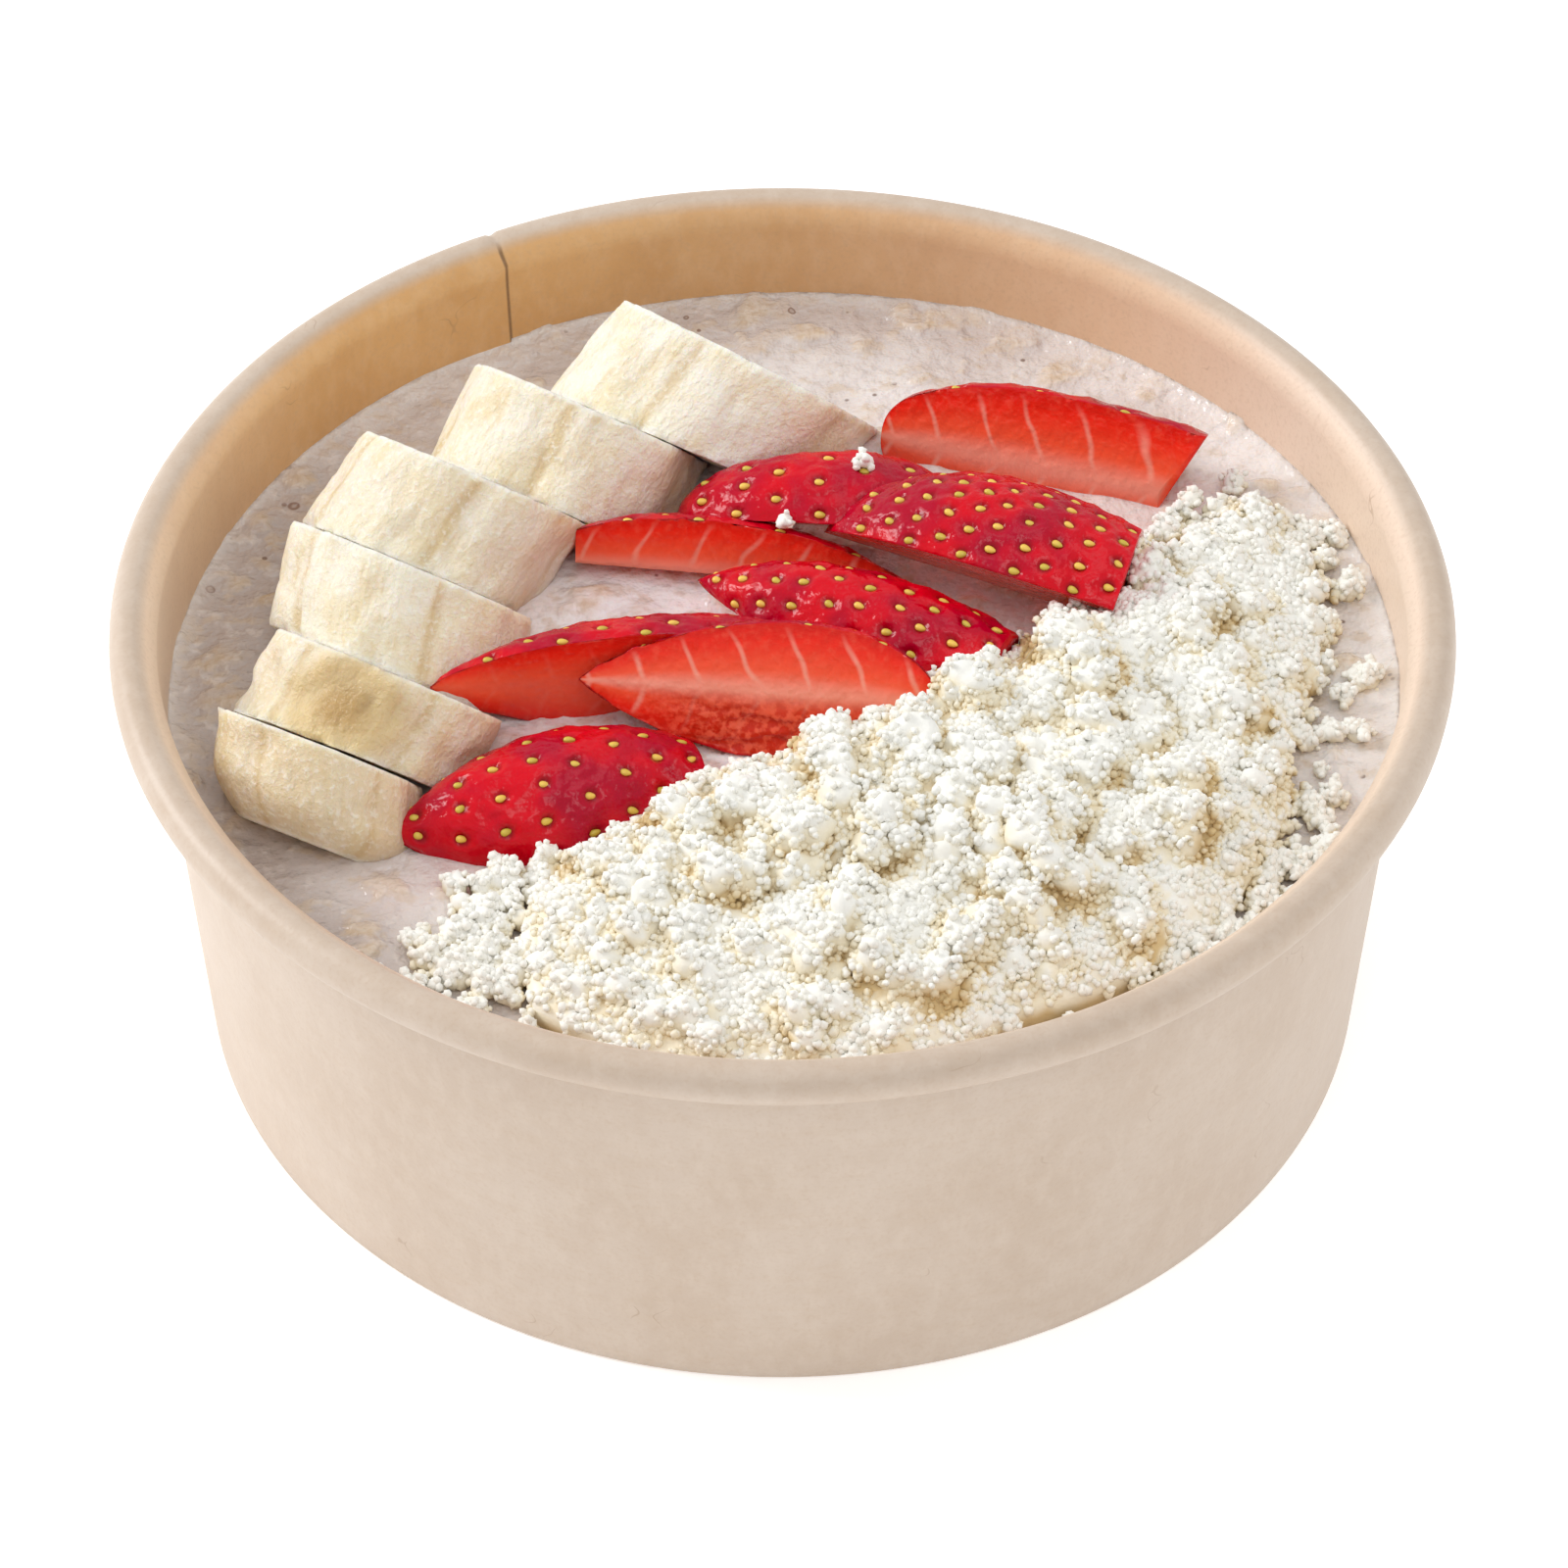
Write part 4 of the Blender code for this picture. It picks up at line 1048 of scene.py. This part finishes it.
# Loose crumbs on the porridge and clumps at the heap's edge: each one's place and radius
LOOSE_CRUMBS = (
    (0.0640, 0.0220, 0.0014),
    (0.0645, 0.0130, 0.0016),
    (0.0655, -0.0020, 0.0017),
    (0.0640, -0.0110, 0.0013),
    (0.0605, -0.0215, 0.0013),
    (0.0570, -0.0320, 0.0015),
    (0.0505, -0.0440, 0.0014),
    (0.0390, -0.0535, 0.0013),
    (0.0308, -0.0575, 0.0012),
    (-0.0390, -0.0420, 0.0013),
    (-0.0345, -0.0475, 0.0020),
    (-0.0320, -0.0428, 0.0015),
    (-0.0330, -0.0525, 0.0015),
    (-0.0300, -0.0360, 0.0013),
    (-0.0392, -0.0492, 0.0012),
)
EDGE_CLUMPS = (
    (0.0485, 0.0248, 0.0024),
    (0.0459, 0.0196, 0.0022),
    (0.0514, 0.0265, 0.0020),
    (0.0607, 0.0219, 0.0016),
    (0.0595, 0.0125, 0.0020),
    (0.0618, 0.0057, 0.0018),
    (0.0627, -0.0051, 0.0014),
    (0.0557, -0.0115, 0.0018),
    (0.0541, -0.0202, 0.0018),
    (0.0589, -0.0282, 0.0012),
    (0.0543, -0.0342, 0.0019),
    (0.0518, -0.0395, 0.0014),
    (0.0462, -0.0454, 0.0020),
    (0.0419, -0.0483, 0.0015),
    (0.0345, -0.0511, 0.0012),
    (0.0257, -0.0502, 0.0012),
    (-0.0300, -0.0380, 0.0012),
    (-0.0254, -0.0320, 0.0020),
    (-0.0291, -0.0311, 0.0018),
    (-0.0368, -0.0506, 0.0014),
    (-0.0262, -0.0551, 0.0014),
    (-0.0212, -0.0282, 0.0014),
    (-0.0159, -0.0252, 0.0016),
    (-0.0020, -0.0176, 0.0018),
    (0.0034, -0.0161, 0.0016),
    (0.0130, -0.0100, 0.0020),
    (0.0250, 0.0020, 0.0022),
    (0.0330, 0.0080, 0.0018),
)
# The bits that break each of these up: their sizes, how far out and how high they lie
BITS_A_CLUMP = 5
BIT_SIZES = (0.35, 0.62)
BIT_REACHES = (0.5, 1.1)
BIT_RISES = (0.2, 1.0)
# Crumbs that fell on the strawberries: each one's place and radius
STRAY_CRUMBS = (
    (0.0002, 0.0171, 0.0512, 0.0009),
    (0.0094, 0.0238, 0.0545, 0.0010),
    (0.0159, -0.0083, 0.0500, 0.0008),
)
# Patches of fine crumbs: each one's centre, spread, number of crumbs and their radii
SPARSE_CRUMBS = (
    ((-0.0325, -0.0440), (0.0070, 0.0120), 56, (0.0007, 0.0018)),
    ((-0.0245, -0.0330), (0.0070, 0.0060), 16, (0.0008, 0.0018)),
    ((0.0565, 0.0100), (0.0080, 0.0230), 76, (0.0006, 0.0017)),
    ((0.0560, -0.0220), (0.0070, 0.0180), 50, (0.0005, 0.0014)),
    ((0.0350, -0.0510), (0.0200, 0.0060), 36, (0.0004, 0.0012)),
    ((0.0450, -0.0420), (0.0130, 0.0110), 46, (0.0007, 0.0018)),
)
# How many lumps stand in a spiral over the heap, and how many clumps lie anywhere on it
SPIRAL_LUMPS = ((22, (0.0028, 0.0044)), (14, (0.0017, 0.0028)))
CLUMPS = ((230, (0.0019, 0.0034)), (360, (0.0009, 0.0018)))
CLUMP_BEDDING = 0.0010
CLUMP_RISES = (-0.2, 0.6)
CLUMP_SHRINK = 0.45
LARGE_LUMP = 0.0028
GRAIN_RADII = (0.00034, 0.00060)
GRAIN_UNEVENNESS = (0.70, 1.30)
LOWEST_PERCH = -0.3
PERCH_HEIGHTS = (-0.00010, 0.00028)
GRAINS_PER_AREA = 0.95e7
GRAINS_ON_CORE = 8000
MOST_GRAINS = 9900
BURIED_SHARE = 0.72
HEAP_X = (-0.0300, 0.0630)
HEAP_Y = (-0.0640, 0.0300)
HEAP_CEILING = 0.0600
WALL_CLEARANCE = 0.0002
FIELD = 0.08
HOLLOW_CELL = 0.0005
HOLLOW_REACH = 4
HEAP_CORNERS = [(x - HEAP_CENTRE[0], y - HEAP_CENTRE[1]) for x, y in HEAP_OUTLINE]
HEAP_TURNS, HEAP_REACHES = zip(*sorted((math.atan2(y, x), math.hypot(x, y)) for x, y in HEAP_CORNERS))


def heap_reach(turn):
    return float(np.interp(turn, HEAP_TURNS, HEAP_REACHES, period=2 * math.pi))


def heap_share(x, y):
    """0 at the heap's centre and 1 on its outline."""
    from_centre = (x - HEAP_CENTRE[0], y - HEAP_CENTRE[1])
    return math.hypot(*from_centre) / heap_reach(math.atan2(from_centre[1], from_centre[0]))


def random_place():
    """A place in the heap's outline, as likely in one part as in another."""
    while True:
        x = random.uniform(*HEAP_X)
        y = random.uniform(*HEAP_Y)
        if heap_share(x, y) < 1.0:
            return x, y


def heap_top(x, y):
    share = min(1.0, heap_share(x, y))
    fall = (1.0 - share ** HEAP_CROWN) ** HEAP_FALL
    bump = HEAP_ROUGHNESS * noise.noise(Vector((x, y, HEAP_BUMP)) / HEAP_BUMP)
    return level_at(x, y) + GAP + HEAP_EDGE + (HEAP_HEIGHT + bump) * fall


def heap_point(share, turn):
    reach = heap_reach(turn) * share
    return HEAP_CENTRE[0] + reach * math.cos(turn), HEAP_CENTRE[1] + reach * math.sin(turn)


def ball_of(subdivisions):
    """A ball of radius 1 in triangles: its points and its faces."""
    made = bmesh.new()
    bmesh.ops.create_icosphere(made, subdivisions=subdivisions, radius=1.0)
    points = [vertex.co.copy() for vertex in made.verts]
    faces = [tuple(vertex.index for vertex in face.verts) for face in made.faces]
    made.free()
    return points, faces


def add_lump(body, perches, place, radius):
    """A rough ball with its points pushed in and out; grains perch on its upper side."""
    offset = Vector((random.random(), random.random(), random.random())) * NOISE_SPREAD
    ball, faces = LARGE_BALL if radius > LARGE_LUMP else SMALL_BALL
    first = len(body["points"])
    body["faces"] += [(first + a, first + b, first + c) for a, b, c in faces]
    body["lumps"].append((tuple(place), radius))
    for way in ball:
        swell = 1.0 + LUMP_ROUGHNESS * noise.noise(way * LUMP_BUMPS + offset)
        body["points"].append(tuple(place + way * (radius * swell)))
    for _ in range(int(GRAINS_PER_AREA * radius ** 2)):
        rise = random.uniform(LOWEST_PERCH, 1.0)
        turn = random.uniform(0.0, 2.0 * math.pi)
        flat = math.sqrt(1.0 - rise * rise)
        way = Vector((flat * math.cos(turn), flat * math.sin(turn), rise))
        swell = 1.0 + LUMP_ROUGHNESS * noise.noise(way * LUMP_BUMPS + offset)
        perches.append(tuple(place + way * (radius * swell + random.uniform(*PERCH_HEIGHTS))))


def add_spiral_lumps(body, perches, count, radii):
    """Lumps spread evenly from the heap's crown outwards, smaller towards its edge."""
    for i in range(count):
        share = math.sqrt((i + 0.5) / count) * LUMP_REACH
        radius = random.uniform(*radii) * (1.0 - LUMP_SHRINK * share)
        x, y = heap_point(share, GOLDEN_ANGLE * i)
        inside = min(1.0, (wall_inner(LEVEL) - 1.5 * radius) / math.hypot(x, y))
        x, y = x * inside, y * inside
        add_lump(body, perches, Vector((x, y, heap_top(x, y) - LUMP_SINK * radius)), radius)


def add_core(body):
    """The crowned core, closed below under the porridge's surface."""
    rings = []
    for ring in range(HEAP_RINGS, 0, -1):
        places = [heap_point(ring / HEAP_RINGS, 2 * math.pi * i / HEAP_SPOKES) for i in range(HEAP_SPOKES)]
        rings.append([(x, y, heap_top(x, y)) for x, y in places])
    rings.insert(0, [(x, y, level_at(x, y) - HEAP_EDGE) for x, y, _ in rings[0]])
    first = len(body["points"])
    for ring in rings:
        body["points"] += ring
    for here in range(first, first + HEAP_RINGS * HEAP_SPOKES, HEAP_SPOKES):
        for i in range(HEAP_SPOKES):
            k = (i + 1) % HEAP_SPOKES
            body["faces"].append((here + i, here + k, here + HEAP_SPOKES + k, here + HEAP_SPOKES + i))
    body["faces"].append(tuple(range(len(body["points"]) - HEAP_SPOKES, len(body["points"]))))
    body["faces"].append(tuple(range(first + HEAP_SPOKES - 1, first - 1, -1)))


def grain_meshes(perches):
    """A small uneven ball at each perch, all joined: their points and three-sided faces."""
    ball, corners = (np.array(part) for part in ball_of(1))
    count = len(perches)
    radii = np.random.uniform(*GRAIN_RADII, (count, 1, 1))
    radii = radii * np.random.uniform(*GRAIN_UNEVENNESS, (count, len(ball), 1))
    points = perches[:, None, :] + ball[None, :, :] * radii
    faces = corners[None, :, :] + (np.arange(count) * len(ball))[:, None, None]
    return points.reshape(-1, 3), faces.reshape(-1, 3).tolist()


def held_inside(points):
    """The points, kept under the bowl's rim and clear of its wall."""
    points[:, 2] = np.minimum(points[:, 2], HEAP_CEILING)
    reach = np.hypot(points[:, 0], points[:, 1])
    points[:, :2] *= np.minimum(1.0, (wall_inner(LEVEL) - WALL_CLEARANCE) / reach)[:, None]
    return points


def hollowness(points, others):
    """How far each point lies below the highest of the others near it, in metres."""
    size = int(2 * FIELD / HOLLOW_CELL) + 1
    top = np.full((size, size), -1.0)
    columns = ((others[:, :2] + FIELD) / HOLLOW_CELL).astype(int)
    np.maximum.at(top, (columns[:, 0], columns[:, 1]), others[:, 2])
    near = top.copy()
    for dx in range(-HOLLOW_REACH, HOLLOW_REACH + 1):
        for dy in range(-HOLLOW_REACH, HOLLOW_REACH + 1):
            if dx * dx + dy * dy <= HOLLOW_REACH ** 2:
                near = np.maximum(near, np.roll(top, (dx, dy), (0, 1)))
    columns = ((points[:, :2] + FIELD) / HOLLOW_CELL).astype(int)
    return np.maximum(0.0, near[columns[:, 0], columns[:, 1]] - points[:, 2])


random.seed(7)
np.random.seed(7)
SMALL_BALL = ball_of(2)
LARGE_BALL = ball_of(3)
body = {"points": [], "faces": [], "lumps": []}
perches = []
for x, y, radius in LOOSE_CRUMBS:
    add_lump(body, perches, Vector((x, y, porridge_top(x, y) + CRUMB_RISE * radius)), radius)
add_core(body)
for count, radii in SPIRAL_LUMPS:
    add_spiral_lumps(body, perches, count, radii)
for count, radii in CLUMPS:
    for _ in range(count):
        x, y = random_place()
        radius = random.uniform(*radii) * (1.0 - CLUMP_SHRINK * heap_share(x, y) ** 3)
        place = Vector((x, y, heap_top(x, y) - CLUMP_BEDDING + random.uniform(*CLUMP_RISES) * radius))
        add_lump(body, perches, place, radius)
for x, y, radius in (*LOOSE_CRUMBS, *EDGE_CLUMPS):
    for _ in range(BITS_A_CLUMP):
        turn = random.uniform(0.0, 2.0 * math.pi)
        small = radius * random.uniform(*BIT_SIZES)
        way = Vector((math.cos(turn), math.sin(turn), 0.0))
        at = Vector((x, y, 0.0)) + way * radius * random.uniform(*BIT_REACHES)
        at.z = level_at(at.x, at.y) + random.uniform(*BIT_RISES) * radius
        add_lump(body, perches, at, small)
for x, y, z, radius in STRAY_CRUMBS:
    add_lump(body, perches, Vector((x, y, z)), radius)
for centre, spread, count, radii in SPARSE_CRUMBS:
    for _ in range(count):
        x = random.gauss(centre[0], spread[0] * 0.5)
        y = random.gauss(centre[1], spread[1] * 0.5)
        radius = random.uniform(*radii)
        if math.hypot(x, y) < wall_inner(LEVEL) - radius:
            add_lump(body, perches, Vector((x, y, level_at(x, y) + 0.5 * radius)), radius)
for _ in range(GRAINS_ON_CORE):
    x, y = random_place()
    perches.append((x, y, heap_top(x, y) + 0.0001))
perches = np.array(perches)
buried = np.zeros(len(perches), bool)
for place, radius in body["lumps"]:
    buried |= np.sum((perches - place) ** 2, axis=1) < (radius * BURIED_SHARE) ** 2
perches = perches[~buried]
np.random.shuffle(perches)
perches = perches[: 3 * MOST_GRAINS]
perches = perches[np.argsort(perches[:, 1] + 0.45 * perches[:, 0])]

crumble = Finish("white crumble", Specular_IOR_Level=0.2)
place = crumble.place()
cream = crumble.cloud(place, 0.0060, 3.0)
crumb_noise = crumble.cloud(place, 0.00045, 3.0, 0.6)
colour = crumble.mix(cream.rise(0.50, 0.75) * 0.4, paint(247, 246, 240), paint(243, 238, 223))
# Painted shade: cream in shallow hollows, deeper tan in deep ones
colour = crumble.mix(crumble.carried("hollow").rise(0.0007, 0.0018) * 0.60, colour, paint(240, 226, 190))
colour = crumble.mix(crumble.carried("hollow").rise(0.0018, 0.0034) * 0.85, colour, paint(212, 184, 128))
crumble.feel(colour, crumb_noise * 0.2 + 0.6)
crumble.relief(crumb_noise, 0.00007)

batches = {"crumble_core": (np.array(body["points"]), body["faces"])}
for number, name in enumerate(("grains_near", "grains_middle", "grains_far")):
    batches[name] = grain_meshes(perches[number * MOST_GRAINS:(number + 1) * MOST_GRAINS])
for name, (points, faces) in batches.items():
    points = held_inside(points)
    piece = new_piece(name, points, faces, crumble, {"hollow": hollowness(points, perches)})
    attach(piece, "root")
    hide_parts("crumble_heap")


# Sizes
# The scene is brought up to date.
bpy.context.view_layer.update()
